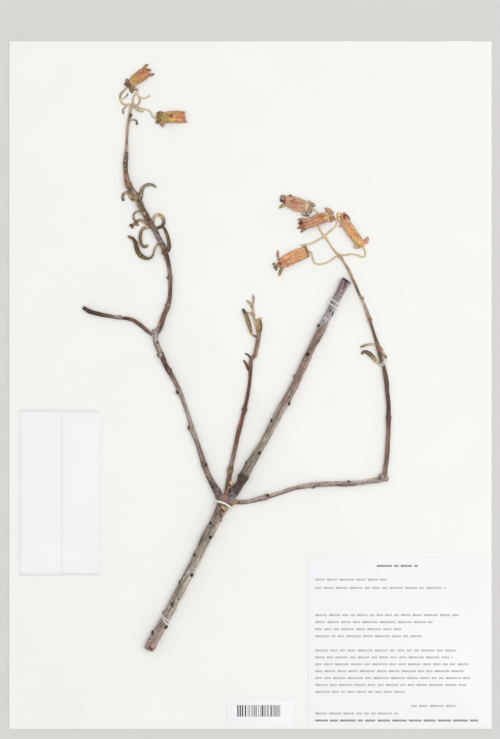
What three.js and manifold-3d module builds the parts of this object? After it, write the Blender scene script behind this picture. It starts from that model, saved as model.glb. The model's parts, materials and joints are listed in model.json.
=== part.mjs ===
// A dried, pressed branch of a shrubby kalanchoe, stitched with thread to a sheet of mounting paper,
// with its fragment packet, its label and a bar sticker. Lengths are in millimetres. The origin is the
// middle of the sheet's underside, +X points to the sheet's right, +Y to its top edge and +Z up from it.
import * as THREE from 'three';
import { mergeVertices } from 'three/addons/utils/BufferGeometryUtils.js';
import Module from 'manifold-3d';

const wasm = await Module();
wasm.setup();

// Driving sizes of the paper goods
const SHEET = { width: 294.5, length: 419.5, thickness: 0.5 };
const PAPER = SHEET.thickness;
const PACKET = { left: -140.5, right: -92.1, bottom: -115.9, top: -15.4, seam: -115.0 };
const PACKET_PLY = 0.25;
const PACKET_FOLD = 1.2;
const PACKET_OVERLAP = 9;
const LABEL = { left: 35.1, right: 146.4, bottom: -208.6, top: -105.1, thickness: 0.25 };
const STICKER = { left: -14.5, right: 25.8, bottom: -208.9, top: -191.7, thickness: 0.25 };

// Clear space between neighbouring pieces, and how much of a bar's round is cut flat where it lies
const GAP = 0.3;
const FLATTENING = 0.5;
const MERGE_TOLERANCE = 1e-4;
const SIMPLIFY_TOLERANCE = 0.04;

// How thick each kind of bar is: a share of its width for wood, a fixed height for what was pressed flat
const WOOD = { share: 0.82, sides: 8, step: 6 };
const TWIG = { share: 0.85, sides: 7, step: 5 };
const PEDICEL = { height: 0.9, sides: 6, step: 2.5 };
const LEAF = { height: 1.1, sides: 6, step: 2 };
const THICK_LEAF = { height: 1.5, sides: 7, step: 2 };
const SEPAL = { height: 1.5, sides: 6, step: 2 };
const COROLLA = { height: 2.3, sides: 9, step: 3 };
const LOBE = { height: 1.1, sides: 5, step: 2 };
const RIB = { height: 2.6, sides: 4, step: 4 };
const FILAMENT = { height: 0.8, sides: 5, step: 1.5 };
const FLOWER_BASE_HEIGHT = 2.6;
const ANTHER_HEIGHT = 1.7;
const NODE_HEIGHT = 0.95;
const SCAR_HEIGHT = 3.1;
const DOME_SIDES = 8;
const DOME_RINGS = 4;

// Thread: radius of a strand, number of sides and of steps along its arch, and how upright its ends are
const THREAD = { radius: 0.32, sides: 6, steps: 12, uprightness: 0.62 };

const COLOURS = {
  sheet: 0xf3f3ee,
  packet: 0xefeff1,
  label: 0xf3f3f5,
  sticker: 0xf6f6f6,
  thread: 0xf7f6f2,
  wood: 0x7c716b,
  stalk: 0xa3936f,
  leaf: 0x6b6345,
  calyx: 0x7b675c,
  corolla: 0xb98658,
};

// Routes over the paper, each point [x, y, width] or [x, y, width, lift of its underside]

const MAIN_STEM_LOWER = [
  [-61.8, -161.2, 6.2], [-60.6, -158.6, 6.6], [-59.4, -155.5, 5.6], [-55, -148, 5.4], [-52, -142.5, 5.0],
  [-48.8, -135.5, 5.5], [-45.7, -130, 5.3], [-43.2, -125, 5.0], [-40.4, -120, 5.6], [-37.7, -115, 5.4],
  [-34.8, -109, 5.3], [-32.2, -104, 5.3], [-29.4, -99, 6.0], [-27.4, -94, 6.2], [-24.6, -89, 6.1],
  [-22.1, -84.5, 5.6], [-19.8, -80, 6.4], [-17.2, -74.5, 7.4], [-15, -70, 7.4],
];
const MAIN_STEM_UPPER = [
  [-15.6, -72, 6.4], [-12.2, -68.3, 5.4], [-9.2, -65, 5.0], [-6.3, -60, 5.2], [-4.1, -56, 6.3],
  [-1.9, -52, 5.7], [0.1, -48, 5.5], [2.5, -44, 5.3], [4.9, -40, 4.8], [7.4, -35.5, 4.5],
  [10.3, -30.5, 4.7], [12.8, -26, 4.8], [15.2, -21.5, 5.2], [18, -16, 4.8], [20.3, -12, 5.2],
  [22.4, -8, 5.0], [24.6, -4, 4.8], [26.9, 0.5, 5.0], [28.9, 5.5, 4.8], [31.1, 10, 4.8],
  [33.6, 15, 5.0], [36, 20.5, 4.5], [38.6, 25.5, 4.8], [41.2, 30, 5.3], [43.4, 35, 5.2],
  [45.7, 40, 5.1], [48.5, 45, 5.0], [51.1, 50, 5.0], [53.6, 55, 5.3], [56.2, 60, 5.8], [57.4, 62, 6.4],
  [58.7, 64.2, 6.3],
];
const LEFT_BRANCH = [
  [-15.6, -72.5, 5.4], [-18.8, -68.4, 4.9], [-20.9, -64, 4.2], [-23.5, -59, 3.6], [-26, -54, 3.3],
  [-28.2, -48.5, 3.7], [-29.1, -45, 3.2], [-31.1, -39, 2.9], [-33.6, -32, 3.0], [-36.1, -26, 3.6],
  [-37.2, -21.5, 2.7], [-39, -15, 2.6], [-41.2, -9, 2.7], [-43.6, -4, 3.1], [-45.2, 0, 2.7],
  [-47.6, 4.5, 2.8], [-50, 9, 3.2], [-52.4, 14, 3.0], [-54.6, 18.5, 3.6], [-56, 22, 3.2],
  [-57.2, 25.5, 3.0], [-57.8, 29, 3.4], [-57.6, 32.5, 3.4],
];
const LEFT_TWIG = [
  [-57.8, 29.6, 2.4], [-60.4, 31, 2.2], [-63, 32.5, 2.3], [-66, 35.2, 2.6], [-69, 37.9, 2.5],
  [-72, 40, 2.3], [-76, 41.1, 2.0], [-80, 41.4, 2.0], [-85, 41.9, 2.0], [-90, 43, 2.2],
  [-95, 44.2, 2.5], [-98.5, 45.3, 2.4], [-101.4, 47, 2.0],
];
const LEFT_SHOOT = [
  [-57.4, 31, 3.2], [-55.4, 35.5, 3.4], [-53.8, 40, 3.2], [-52.2, 44.5, 2.8], [-50.6, 48.6, 2.9],
  [-49.6, 53, 2.4], [-49.1, 59, 2.2], [-49.3, 65.5, 2.8], [-49.6, 70, 2.4], [-50.3, 75, 2.7],
  [-51.6, 80, 3.8], [-53, 84, 3.7], [-55.2, 88.5, 3.2], [-57.8, 93, 3.2], [-60.4, 98, 3.4],
  [-63, 102.3, 3.8], [-65.6, 106.5, 3.9], [-67.8, 111, 3.9], [-70.2, 115.5, 3.7], [-72.8, 119, 3.8],
  [-74.7, 122.5, 4.3], [-75.6, 126, 3.6], [-76.1, 130, 2.8], [-76.3, 135, 2.9], [-75.9, 140, 2.7],
  [-75.6, 144.5, 2.1], [-75.4, 149, 1.7], [-75.3, 154, 1.6], [-74.8, 158, 1.6], [-74.2, 161.5, 1.9],
  [-73.5, 166, 1.5], [-72.7, 170.2, 1.5],
];
const CENTRE_SHOOT = [
  [-15.1, -71, 3.6], [-14.4, -66, 3.4], [-13.6, -60.5, 3.2], [-13, -56, 2.9], [-12.3, -52, 3.6],
  [-11.5, -48, 2.8], [-10.5, -44, 2.9], [-9.7, -40, 2.7], [-8.6, -35.5, 2.6], [-7.6, -30, 2.8],
  [-6.3, -25, 2.7], [-5, -20, 2.3], [-3.6, -15, 3.0], [-2.8, -11, 2.2], [-1.9, -6.5, 2.3],
  [-0.8, -1, 2.1], [-0.2, 4, 2.1], [-0.1, 9, 2.4], [0.2, 12.8, 2.5], [0.8, 15.8, 2.4],
  [2.6, 18.2, 2.7], [3.5, 21.5, 2.5], [4, 25, 2.4], [4.8, 29, 2.3], [5.4, 32.4, 2.2],
];
const RIGHT_BRANCH = [
  [-14, -70.6, 4.0], [-9, -71.3, 3.1], [-4.5, -71.4, 2.6], [0, -70.8, 2.6], [4, -69.6, 3.1],
  [8.5, -68.4, 3.5], [13, -67.3, 2.7], [18, -65.7, 2.4], [23, -63.9, 2.4], [28, -62.5, 2.5],
  [33, -61.5, 3.1], [38, -61, 3.5], [43, -60.7, 3.1], [49, -60.4, 3.0], [55, -60.1, 3.0],
  [60, -60, 3.2], [66, -59.6, 2.6], [72, -59, 2.8], [77.5, -57.8, 3.4], [81.9, -56.7, 3.8],
];
const RIGHT_SHOOT = [
  [80.9, -58, 3.4], [82, -54, 3.0], [82.4, -50, 2.8], [83, -45, 2.8], [83.2, -39, 2.8], [83.8, -33, 2.6],
  [84, -27, 2.6], [84.2, -20, 3.0], [84.3, -15, 2.5], [84.1, -10, 2.6], [83.4, -4, 2.5], [82.8, 1, 2.8],
  [82.3, 6, 2.7], [81.3, 11, 2.4], [79.9, 15, 2.5], [79, 19, 2.6], [78.1, 23, 2.8], [76.6, 28, 2.1],
  [75.4, 32, 1.9], [74.2, 36, 1.9], [72.8, 40, 2.3], [71.5, 44, 2.1], [70, 48, 1.7], [68.4, 51.6, 1.7],
  [66.5, 55.2, 1.6], [64.5, 60, 1.6], [62.3, 65, 1.5], [60.1, 70, 1.5], [57.6, 74.5, 1.5],
  [54.9, 78.2, 1.9],
];

// Swellings of the wood, each [x, y, width]: the knuckles at forks and the joints of the shoots
const WOOD_KNUCKLES = [
  [-16.4, -70.6, 8.2], [-13, -71.4, 6.0], [-4.4, -56.2, 6.9],
  [-28, -48.5, 4.0], [-36.4, -26, 4.0], [-43.8, -4.2, 3.4], [-49.6, 9.1, 3.5], [-54.9, 18.4, 4.0],
  [-58, 30.8, 4.4], [-58.5, 33, 2.8], [-79.6, 41.5, 2.6], [-50.5, 48.5, 3.3], [-49.3, 65.5, 3.2],
  [-51.9, 81.2, 4.5], [-69.6, 116, 3.4], [-74.2, 122, 4.6], [-12.3, -52, 4.1], [-3.5, -14.9, 3.5],
  [10, -68, 3.9], [38.2, -61.2, 3.8], [60, -59.8, 3.5], [79.9, -55.4, 3.4], [82.6, -57, 3.5],
  [84.2, -20, 3.4], [78.2, 22.4, 3.1], [72.8, 40, 2.6],
];
// Old leaf scars that stand out of the sides of the main stem, each [x, y, width]
const STEM_SCARS = [
  [-59.3, -150.6, 2.4], [-51.7, -147.2, 2.8], [-52.4, -138.4, 2.6], [-43.4, -129.5, 2.6],
  [-42.4, -119.9, 2.6], [-36.2, -115.2, 2.6], [-28.4, -92.4, 2.8], [-19.6, -83, 2.8], [-2.2, -47.4, 2.3],
  [13.2, -21.6, 2.4], [23.2, -11.4, 2.6], [27.2, 5.4, 2.4], [41.8, 36, 2.5],
];
// A broken side shoot beside the centre shoot
const BROKEN_STUB = [-12.2, -59.8, 3.0];
// Short dead stubs that stand out of the shoots
const WOOD_STUBS = [
  [[-0.4, 8.4, 1.6], [-1.8, 11, 1.6], [-2.5, 12.8, 1.4], [-4.1, 15.1, 1.0]],
  [[0.5, 15.6, 1.4], [-0.9, 18, 1.1], [-3.1, 19.3, 0.9]],
  [[68.6, 51.4, 1.4], [68.6, 53.8, 1.1]],
  [[-73.8, 163, 1.2], [-72.5, 165.2, 1.5]],
];

// Flower stalks: thin pedicels with their bracts, in the order in which each leaves the one before
const LEFT_STALK = [
  [[-72.6, 169.6, 1.5], [-71.5, 170.9, 1.5], [-71.7, 173.6, 1.1], [-71.1, 176, 1.0], [-69.4, 178.2, 1.0],
    [-68.4, 180, 0.9]],
  [[-72.6, 171.1, 1.4], [-75.4, 171.1, 1.0], [-77.6, 171.5, 1.0], [-79, 173, 1.0], [-79.4, 175.6, 1.0],
    [-78.5, 177.7, 1.1], [-77.1, 179.4, 1.1], [-75.2, 181.9, 1.1]],
  [[-79, 173.6, 1.0], [-77.6, 174.9, 0.9], [-76.1, 175.7, 0.9], [-75.2, 176.8, 0.9], [-74.7, 177.8, 0.8]],
  [[-72.8, 171, 1.2], [-75, 170.7, 1.0], [-77, 168.8, 0.9], [-77.8, 167.2, 0.9], [-77.3, 165.4, 0.8]],
  [[-72.4, 171, 1.3], [-70.4, 171, 1.1], [-68, 169.3, 1.0], [-65, 168.3, 1.0], [-62.2, 167.7, 1.0],
    [-60.8, 166.4, 1.0], [-60, 164.5, 1.0], [-58.9, 163.2, 1.1], [-57, 163, 1.2]],
  [[-72, 170.8, 1.2], [-70, 169, 0.9, 0.9], [-68.3, 167.5, 0.9, 0.6], [-66.8, 166.8, 0.9, 0],
    [-65.2, 166.9, 0.8, 0]],
  [[-69.4, 178.6, 1.0], [-68.3, 176.6, 1.0], [-67.5, 174.4, 1.1], [-67.5, 172.7, 1.2], [-68.2, 171.5, 1.1],
    [-68.9, 170.8, 0.9]],
  [[-68, 176, 1.0], [-66, 175.1, 1.0], [-63.8, 175.1, 0.9], [-61, 176.8, 0.8]],
];
const LEFT_BRACT = [
  [[-73.7, 161.4, 1.2, 0.4], [-71.4, 161.8, 1.1], [-69.5, 161.2, 1.1], [-69.2, 158.7, 1.2]],
];
const RIGHT_STALK = [
  [[54.4, 77.6, 1.6], [53.2, 79.8, 1.7], [51.4, 81.7, 1.2], [49.4, 84.5, 1.1], [47.4, 87.6, 1.1],
    [45.3, 90.9, 1.6]],
  [[54.3, 79.2, 1.4], [51.5, 78, 1.1], [48.8, 75.8, 1.0], [45.5, 74.3, 1.0], [42, 73.7, 1.0],
    [39.4, 74.4, 1.0], [38.3, 76.4, 1.0], [37.7, 79, 1.0], [36.8, 81.1, 1.1], [35, 81.4, 1.1]],
  [[54.4, 78.9, 1.4], [58, 79.3, 1.1], [61.8, 79.8, 1.0], [66, 79, 1.0], [68.4, 77.9, 1.0],
    [69.8, 78.8, 1.0], [70.2, 80.8, 1.0], [69.4, 83, 1.1], [68.2, 84.9, 1.2]],
  [[45.4, 90.5, 1.5], [42, 88.9, 1.1], [39.5, 87.4, 1.0], [36.5, 86.1, 1.0], [33.4, 85.7, 0.9],
    [30.6, 85.3, 0.8]],
  [[45.3, 90.6, 1.4], [43.6, 92.8, 1.1], [42.3, 95.2, 1.1], [41.7, 98.4, 1.1], [41.7, 102, 1.1],
    [41.1, 105, 1.3], [39.5, 106.5, 1.4], [37.6, 107.4, 1.4]],
  [[45.2, 90.7, 1.5], [46.8, 92.2, 1.1], [48.6, 93.9, 1.1], [50.7, 95.6, 1.1], [52.3, 97.3, 1.2],
    [52.8, 99, 1.1], [51.8, 101.3, 1.0]],
];
const RIGHT_STALK_KNUCKLES = [[54.4, 78.9, 2.4], [45.3, 90.8, 2.5]];

// Shrivelled leaves, each a list of strips
const LEAVES = {
  left_leaf_top_hook: [[[-67.4, 112.4, 2.6], [-66.6, 116, 2.4], [-66.2, 118.6, 2.3],
    [-65.3, 120.6, 2.1], [-63.6, 121.8, 1.9], [-61.4, 122.3, 1.7], [-59.3, 121.9, 1.5],
    [-57.3, 120.5, 1.2]]],
  left_leaf_top_curl: [[[-70.8, 112.9, 2.6], [-72.7, 114.4, 2.6], [-74, 116.7, 1.7], [-76, 117.4, 1.6],
    [-77.8, 116.3, 1.6], [-78.3, 114.4, 1.6], [-77, 112, 1.3]]],
  left_leaf_ring: [[[-65.3, 105.8, 1.3], [-68.3, 106, 1.2], [-70.6, 104.8, 1.1], [-71.3, 102.6, 1.1],
    [-70.6, 100.6, 1.0]]],
  left_leaf_fork: [
    [[-60.6, 97.2, 2.2], [-63.5, 98.8, 1.9], [-65.6, 100, 1.6], [-67.6, 100.4, 1.5], [-69.3, 99.6, 1.5],
      [-70.6, 98.2, 1.5], [-72.1, 97.6, 1.3], [-73.8, 97.2, 1.2]],
    [[-70.2, 98.6, 1.4], [-71.5, 97.2, 1.3], [-72.3, 95.5, 1.0]],
    [[-69.6, 99.4, 1.3], [-69, 98.3, 1.2], [-68.6, 97, 0.9]],
  ],
  left_leaf_long_loop: [[[-60, 96.2, 2.0], [-62.6, 96.4, 2.0], [-64.9, 95.6, 1.9], [-66.4, 94, 1.8],
    [-67, 91.5, 1.8], [-67.1, 88.8, 1.7], [-66.7, 86.5, 1.7], [-65.5, 84.8, 1.6], [-63.9, 84.2, 1.5],
    [-62.4, 85.6, 1.2]]],
  left_leaf_blade: [[[-54.6, 86.6, 1.2], [-56.2, 85.9, 1.1], [-57.6, 84.3, 1.0], [-58.6, 82, 1.0],
    [-59.2, 79.6, 1.0], [-60.4, 77.8, 1.1], [-62.4, 77.1, 1.5], [-64.8, 77.8, 2.2], [-67, 79.2, 2.7],
    [-68.7, 81.7, 2.8], [-69.5, 84.6, 2.6], [-70.2, 87.2, 2.2], [-71.6, 89.2, 1.8], [-73.2, 90.2, 1.5],
    [-74.8, 90.8, 1.1]]],
  left_leaf_loop: [[[-59.6, 97.2, 1.4], [-59.2, 99.2, 1.3], [-58.9, 101.4, 1.4], [-57.8, 103.4, 1.5],
    [-55.9, 103.9, 1.6], [-54, 102.9, 1.8], [-52.9, 100.6, 2.0], [-52.9, 98.4, 1.9], [-54, 96.8, 1.8],
    [-56, 96, 1.5], [-57.3, 95.4, 1.3]]],
  left_leaf_side_strip: [[[-51.4, 81, 2.2], [-49.9, 82.6, 2.2], [-49.5, 85, 2.1], [-49.8, 88, 1.9],
    [-50.7, 91.4, 1.8], [-51.8, 94.2, 1.5], [-52.8, 96.2, 1.3]]],
  centre_leaf_left: [[[4.4, 29.2, 1.4], [2.4, 30, 1.2], [0.9, 31.2, 1.5], [0.1, 33.6, 2.0],
    [-0.8, 37, 2.5], [-1.9, 40.6, 2.6], [-3.1, 43.7, 2.2], [-4.7, 46.5, 1.4]]],
  centre_leaf_inner: [[[4.6, 31.5, 1.2], [3.9, 34, 1.1], [3.2, 37.2, 1.1], [2.4, 40.2, 1.2],
    [1.4, 42.8, 1.3], [0, 43.9, 1.2], [-1.5, 44.1, 1.0]]],
  centre_leaf_broad: [
    [[5.4, 31, 2.2], [5.7, 34, 2.9], [5.3, 37.5, 2.8], [4.4, 40.4, 1.8]],
    [[6.1, 33, 1.4], [6.5, 35.4, 1.3], [6.2, 38.2, 1.3], [5.7, 40.3, 1.2], [6.7, 41.2, 0.9]],
  ],
  centre_leaf_tip: [
    [[2.6, 41.9, 1.1], [1.9, 44.4, 1.1], [1.3, 47, 1.2], [0.4, 48.8, 1.2], [-0.7, 50.1, 1.0],
      [-2.1, 51.6, 0.9]],
    [[1.2, 47.2, 1.1], [1.6, 50, 1.0], [2, 52.6, 0.9], [1.6, 55.2, 0.8]],
  ],
  right_leaf_upper: [[[77.6, 23.4, 1.4], [75.6, 24.5, 1.2], [73, 24.8, 1.2], [70, 24.2, 1.2],
    [67, 23, 1.0]]],
  right_leaf_curl: [[[80, 12.9, 1.3], [78.4, 13.1, 1.3], [76.7, 14.5, 2.0], [74.6, 17.1, 2.8],
    [72.4, 19.2, 2.6], [70.4, 20.3, 1.8], [68.9, 20.2, 1.5], [67.8, 18.7, 1.1]]],
  right_leaf_hook: [[[78.8, 23, 1.3], [80.5, 21.4, 1.1], [81.2, 19.4, 1.0], [82, 18, 1.2], [82.7, 17, 1.1]]],
};
const THICK_LEAVES = ['left_leaf_blade', 'centre_leaf_left', 'centre_leaf_broad'];

// Flowers: the calyx's base [x, y, width] and its sepals, then the corolla's tube, its lobes and ribs
const FLOWERS = {
  flower_top: {
    base: [-73.7, 183.4, 4.0],
    sepals: [
      [[-73.6, 184, 3.0], [-75, 185.2, 2.7], [-75.4, 187, 1.2]],
      [[-73.8, 184, 3.2], [-75.6, 183.8, 2.8], [-77, 183.2, 1.6]],
      [[-73.3, 182.6, 2.6], [-72.5, 180.6, 2.8], [-72.1, 178.7, 2.5]],
      [[-72.8, 182.4, 2.2], [-70.9, 180.9, 1.9], [-69.2, 180.4, 1.1]],
    ],
    tube: [[-73, 183.6, 4.0], [-72, 184.3, 4.9], [-70.2, 186, 6.6], [-67.2, 188.1, 7.2],
      [-64.6, 190.1, 6.9], [-62.9, 191.2, 5.4]],
    lobes: [
      [[-65, 192.3, 2.4], [-63.9, 194.6, 1.9], [-62.2, 195.5, 1.2]],
      [[-63.6, 191.6, 2.2], [-61.9, 192.3, 1.6], [-60.4, 191.6, 1.1]],
      [[-63, 189.4, 2.6], [-60.4, 189.2, 1.9], [-58.5, 189.9, 1.2]],
    ],
    ribs: [
      [[-71.4, 186.3, 1.5], [-68.2, 189.3, 1.5], [-65.6, 191.8, 1.5]],
      [[-71.2, 184.8, 1.5], [-66.8, 188.2, 1.5], [-63.8, 190.4, 1.5]],
      [[-69.8, 184, 1.5], [-65.9, 186.4, 1.5], [-63.4, 188.9, 1.5]],
    ],
    anthers: [],
  },
  flower_upper_left: {
    base: [-55, 163.2, 4.6],
    sepals: [
      [[-53.4, 165, 3.4], [-55.5, 165.5, 3.2], [-57.3, 165.6, 2.4]],
      [[-54.6, 162.4, 3.6], [-56, 161, 3.2], [-57.2, 160, 2.1]],
      [[-54.4, 161.6, 3.2], [-53.9, 159.6, 2.8], [-53.3, 157.9, 1.2]],
      [[-53.9, 161.6, 2.2], [-52.3, 160.1, 1.8], [-51.4, 159, 1.1]],
    ],
    tube: [[-54.4, 163, 4.8], [-52, 163.2, 6.4], [-48, 163.4, 7.3], [-44, 163.5, 7.5],
      [-41.6, 163.6, 7.0], [-40.3, 163.8, 5.4]],
    lobes: [
      [[-42.4, 161, 2.2], [-40.2, 160.6, 1.6], [-38.4, 160.5, 1.1]],
      [[-42, 165.6, 2.4], [-40.4, 166.1, 1.8], [-39.3, 165.9, 1.1]],
      [[-41.8, 163.4, 2.6], [-40.4, 162.9, 2.2], [-39.4, 162.6, 1.2]],
    ],
    ribs: [
      [[-52.4, 165, 1.5], [-48, 165.6, 1.5], [-42.6, 165.6, 1.5]],
      [[-52.6, 163.2, 1.5], [-47.6, 163.2, 1.5], [-42.2, 163.6, 1.5]],
      [[-52.2, 161.4, 1.5], [-47.6, 160.9, 1.5], [-42.8, 161.2, 1.5]],
    ],
    anthers: [],
  },
  flower_right_high: {
    base: [35.8, 108.3, 4.4],
    sepals: [
      [[35.9, 109.1, 3.2], [37.5, 110, 3.2], [39.1, 109.4, 2.4]],
      [[35.2, 110.2, 2.2], [35.9, 111.4, 1.8], [36.2, 112.6, 1.1]],
      [[35.6, 107.6, 4.2], [35.3, 105.4, 4.2], [35.2, 103.4, 2.9]],
      [[35.4, 103.8, 2.0], [33.4, 103.5, 1.2], [31.2, 104.4, 0.9]],
    ],
    tube: [[35, 108, 5.4], [32.8, 108.8, 7.0], [29, 110, 8.1], [25.2, 111.4, 7.2], [22.3, 112.5, 5.6],
      [20.8, 112.9, 4.2]],
    lobes: [
      [[22.6, 113.8, 2.4], [20.2, 115.1, 1.8], [18.1, 115, 1.1]],
      [[23, 110.9, 2.6], [20, 109.5, 2.3], [18.5, 108.7, 1.7], [17.6, 107.7, 1.0]],
    ],
    ribs: [
      [[32.6, 110.6, 1.5], [28.4, 112.4, 1.5], [23.6, 113.8, 1.5]],
      [[32.8, 108.8, 1.5], [27.6, 111, 1.5], [23.4, 112.2, 1.5]],
      [[31.8, 106.7, 1.5], [27.4, 108.2, 1.5], [23.6, 110.6, 1.5]],
    ],
    anthers: [[19, 112.4, 1.7], [20.8, 112.1, 1.6], [18.6, 113.5, 1.4], [24.3, 115.3, 1.9]],
  },
  flower_right_middle: {
    base: [48.5, 102.9, 4.2],
    sepals: [
      [[48.2, 104, 3.2], [47.8, 106.2, 3.2], [46.7, 107.2, 2.2], [45.4, 107.9, 1.0]],
      [[49, 103.8, 2.2], [50, 104.9, 1.9], [50.3, 106.2, 1.2]],
      [[49.2, 102.8, 2.3], [50.9, 102, 1.8], [51.9, 100.9, 1.2]],
      [[48.9, 102, 2.3], [49.8, 100.6, 1.9], [48.6, 99.3, 1.2]],
    ],
    tube: [[47.8, 102.6, 4.8, 0.6], [45.5, 102, 5.6, 1.0], [42, 101, 6.2, 1.3], [38.2, 99.5, 6.0, 1.1],
      [35.2, 98.5, 5.7, 0.5], [33, 98.2, 6.3, 0], [31.6, 98.2, 5.2, 0]],
    lobes: [
      [[33.8, 100.6, 2.2], [31.2, 101.2, 1.8], [28.8, 100.8, 1.1]],
      [[32.6, 97, 2.4], [30.2, 96.1, 1.8], [28.5, 95.5, 1.0]],
      [[33.8, 96, 2.5], [32.2, 94.5, 2.1], [30.8, 93, 1.1]],
    ],
    ribs: [
      [[46, 103.4, 1.5, 1.0], [41.4, 102.4, 1.5, 1.3], [35, 99.9, 1.5, 0.5]],
      [[45.4, 101.6, 1.5, 1.0], [39.4, 99.8, 1.5, 1.2], [33.4, 98.2, 1.5, 0.1]],
      [[44.6, 100, 1.5, 1.1], [39.6, 98, 1.5, 1.2], [34.6, 96.8, 1.5, 0.3]],
    ],
    anthers: [[30.8, 99.5, 1.7], [29.7, 98.6, 1.3], [30.9, 97.8, 1.5]],
  },
  flower_right_low: {
    base: [67.6, 86.2, 4.2],
    sepals: [
      [[68.2, 87, 3.2], [70.3, 87.6, 2.8], [71.3, 88.8, 1.9], [71.7, 90.5, 1.0]],
      [[69.4, 87.4, 2.4], [70.6, 87.2, 2.2], [71.7, 86.6, 1.4]],
      [[67, 85.4, 3.0], [65.2, 84.6, 2.7], [62.9, 84, 1.4]],
      [[67.4, 85.4, 2.6], [66.9, 84.4, 2.4], [66.4, 83.6, 1.6]],
    ],
    tube: [[67, 85.9, 4.6], [65.8, 87.8, 5.6], [64, 90.4, 5.9], [61.5, 93.8, 6.0], [59.6, 96.6, 5.6],
      [58, 99.3, 5.2], [57.1, 101.6, 4.6], [56.9, 103, 3.6]],
    lobes: [
      [[57.8, 101.4, 3.0], [57.7, 103.6, 2.6], [57.1, 105.4, 1.3]],
      [[57.4, 102.9, 2.0], [58.9, 102.6, 2.3], [59.8, 101.3, 2.0], [60.1, 99.8, 1.1]],
      [[56.9, 100.6, 3.2], [56.2, 103.2, 3.0], [56.1, 105, 1.6]],
      [[57.6, 98.6, 2.8], [55.6, 97.6, 2.3], [54.2, 96.4, 1.3]],
      [[57.2, 98.8, 3.2], [55, 100.6, 3.2], [54, 103, 3.0], [53.9, 105.4, 2.2]],
    ],
    ribs: [
      [[66.8, 89, 1.5], [63.2, 94, 1.5], [59.4, 99, 1.5]],
      [[65.6, 88, 1.5], [61.4, 93.8, 1.5], [57.8, 99.8, 1.5]],
      [[64, 87.6, 1.5], [59.8, 93.4, 1.5], [57, 97.4, 1.5]],
    ],
    anthers: [[57.7, 103.1, 2.2], [59.2, 101.6, 1.4]],
  },
  flower_right_bottom: {
    base: [33.4, 80.5, 4.6],
    sepals: [
      [[32.8, 82, 3.2], [33, 83.6, 2.8], [34.6, 84.2, 1.6]],
      [[33.8, 81.2, 2.6], [34.4, 82.4, 2.1], [35, 83.1, 1.4]],
      [[33.4, 79.6, 3.6], [34.7, 79, 3.2], [36, 78.4, 2.0]],
    ],
    tube: [[33.8, 80.8, 5.6], [32, 80.2, 6.9], [29, 79.1, 7.2], [25, 77.3, 7.2], [21.5, 75.4, 7.0],
      [19.2, 74.5, 6.0], [17.9, 74.2, 4.4]],
    lobes: [
      [[18.8, 76.2, 2.0], [17.2, 77, 1.6], [16.7, 79.4, 1.5], [16.9, 82.3, 1.2]],
      [[19.8, 73, 2.2], [19.2, 71, 1.7], [18.3, 69, 1.5], [17.5, 66.6, 1.0]],
      [[18.6, 73.6, 2.4], [17.2, 72.8, 2.0], [16.4, 71.6, 1.4]],
    ],
    ribs: [
      [[31.8, 82, 1.5], [26.4, 80, 1.5], [20.6, 77.2, 1.5]],
      [[31.6, 80, 1.5], [26, 77.6, 1.5], [20.4, 75.2, 1.5]],
      [[31, 77.8, 1.5], [26.4, 75.6, 1.5], [21.2, 73.2, 1.5]],
    ],
    anthers: [[17.6, 74.3, 1.8], [14.9, 71.9, 1.6], [15.8, 70.5, 1.6], [16.1, 72.8, 1.5],
      [14.3, 73.8, 1.8]],
    filaments: [
      [[17.4, 74.2, 0.8], [15.8, 74, 0.7], [14.3, 73.8, 0.8]],
      [[16.4, 72.4, 1], [15.2, 71.6, 1]],
    ],
  },
};

// Thread ties: both feet on the paper, the arch's height over it, and how far it bows sideways
const TIES = {
  tie_base_upper: { from: [-54.3, -139.2], to: [-48.9, -144.3], height: 5.5, bow: 0 },
  tie_base_lower: { from: [-54.9, -140.2], to: [-49.6, -146.2], height: 5.5, bow: 0 },
  tie_fork: { from: [-22.3, -70.5], to: [-11.4, -76.5], height: 7.6, bow: 1.4 },
  tie_stem_upper: { from: [47.4, 53.6], to: [55.2, 48.5], height: 5.4, bow: 0 },
  tie_stem_lower: { from: [46.2, 50.8], to: [54, 45.7], height: 5.4, bow: 0 },
  tie_shoot_upper: { from: [78.2, 11.7], to: [83.6, 16], height: 3.2, bow: 0 },
  tie_shoot_lower: { from: [78.9, 10.8], to: [84.3, 15.1], height: 3.2, bow: 0 },
};

function toSolid(geometry) {
  geometry.deleteAttribute('normal');
  geometry.deleteAttribute('uv');
  const merged = mergeVertices(geometry, MERGE_TOLERANCE);
  return new wasm.Manifold(new wasm.Mesh({
    numProp: 3,
    vertProperties: Float32Array.from(merged.attributes.position.array),
    triVerts: Uint32Array.from(merged.index.array),
  }));
}

function toGeometry(solid) {
  const { vertProperties, triVerts } = solid.getMesh();
  const geometry = new THREE.BufferGeometry();
  geometry.setAttribute('position', new THREE.BufferAttribute(vertProperties, 3));
  geometry.setIndex(new THREE.BufferAttribute(triVerts, 1));
  geometry.computeVertexNormals();
  return geometry;
}

// Where the rings of a bar stand: at every point of the route, and between two that lie far apart
function stationsOf(route, step) {
  const stations = [0];
  for (let i = 1; i < route.length; i += 1) {
    const stretch = Math.hypot(route[i][0] - route[i - 1][0], route[i][1] - route[i - 1][1]);
    const count = Math.max(1, Math.round(stretch / step));
    for (let j = 1; j <= count; j += 1) {
      stations.push((i - 1 + j / count) / (route.length - 1));
    }
  }
  return stations;
}

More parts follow.
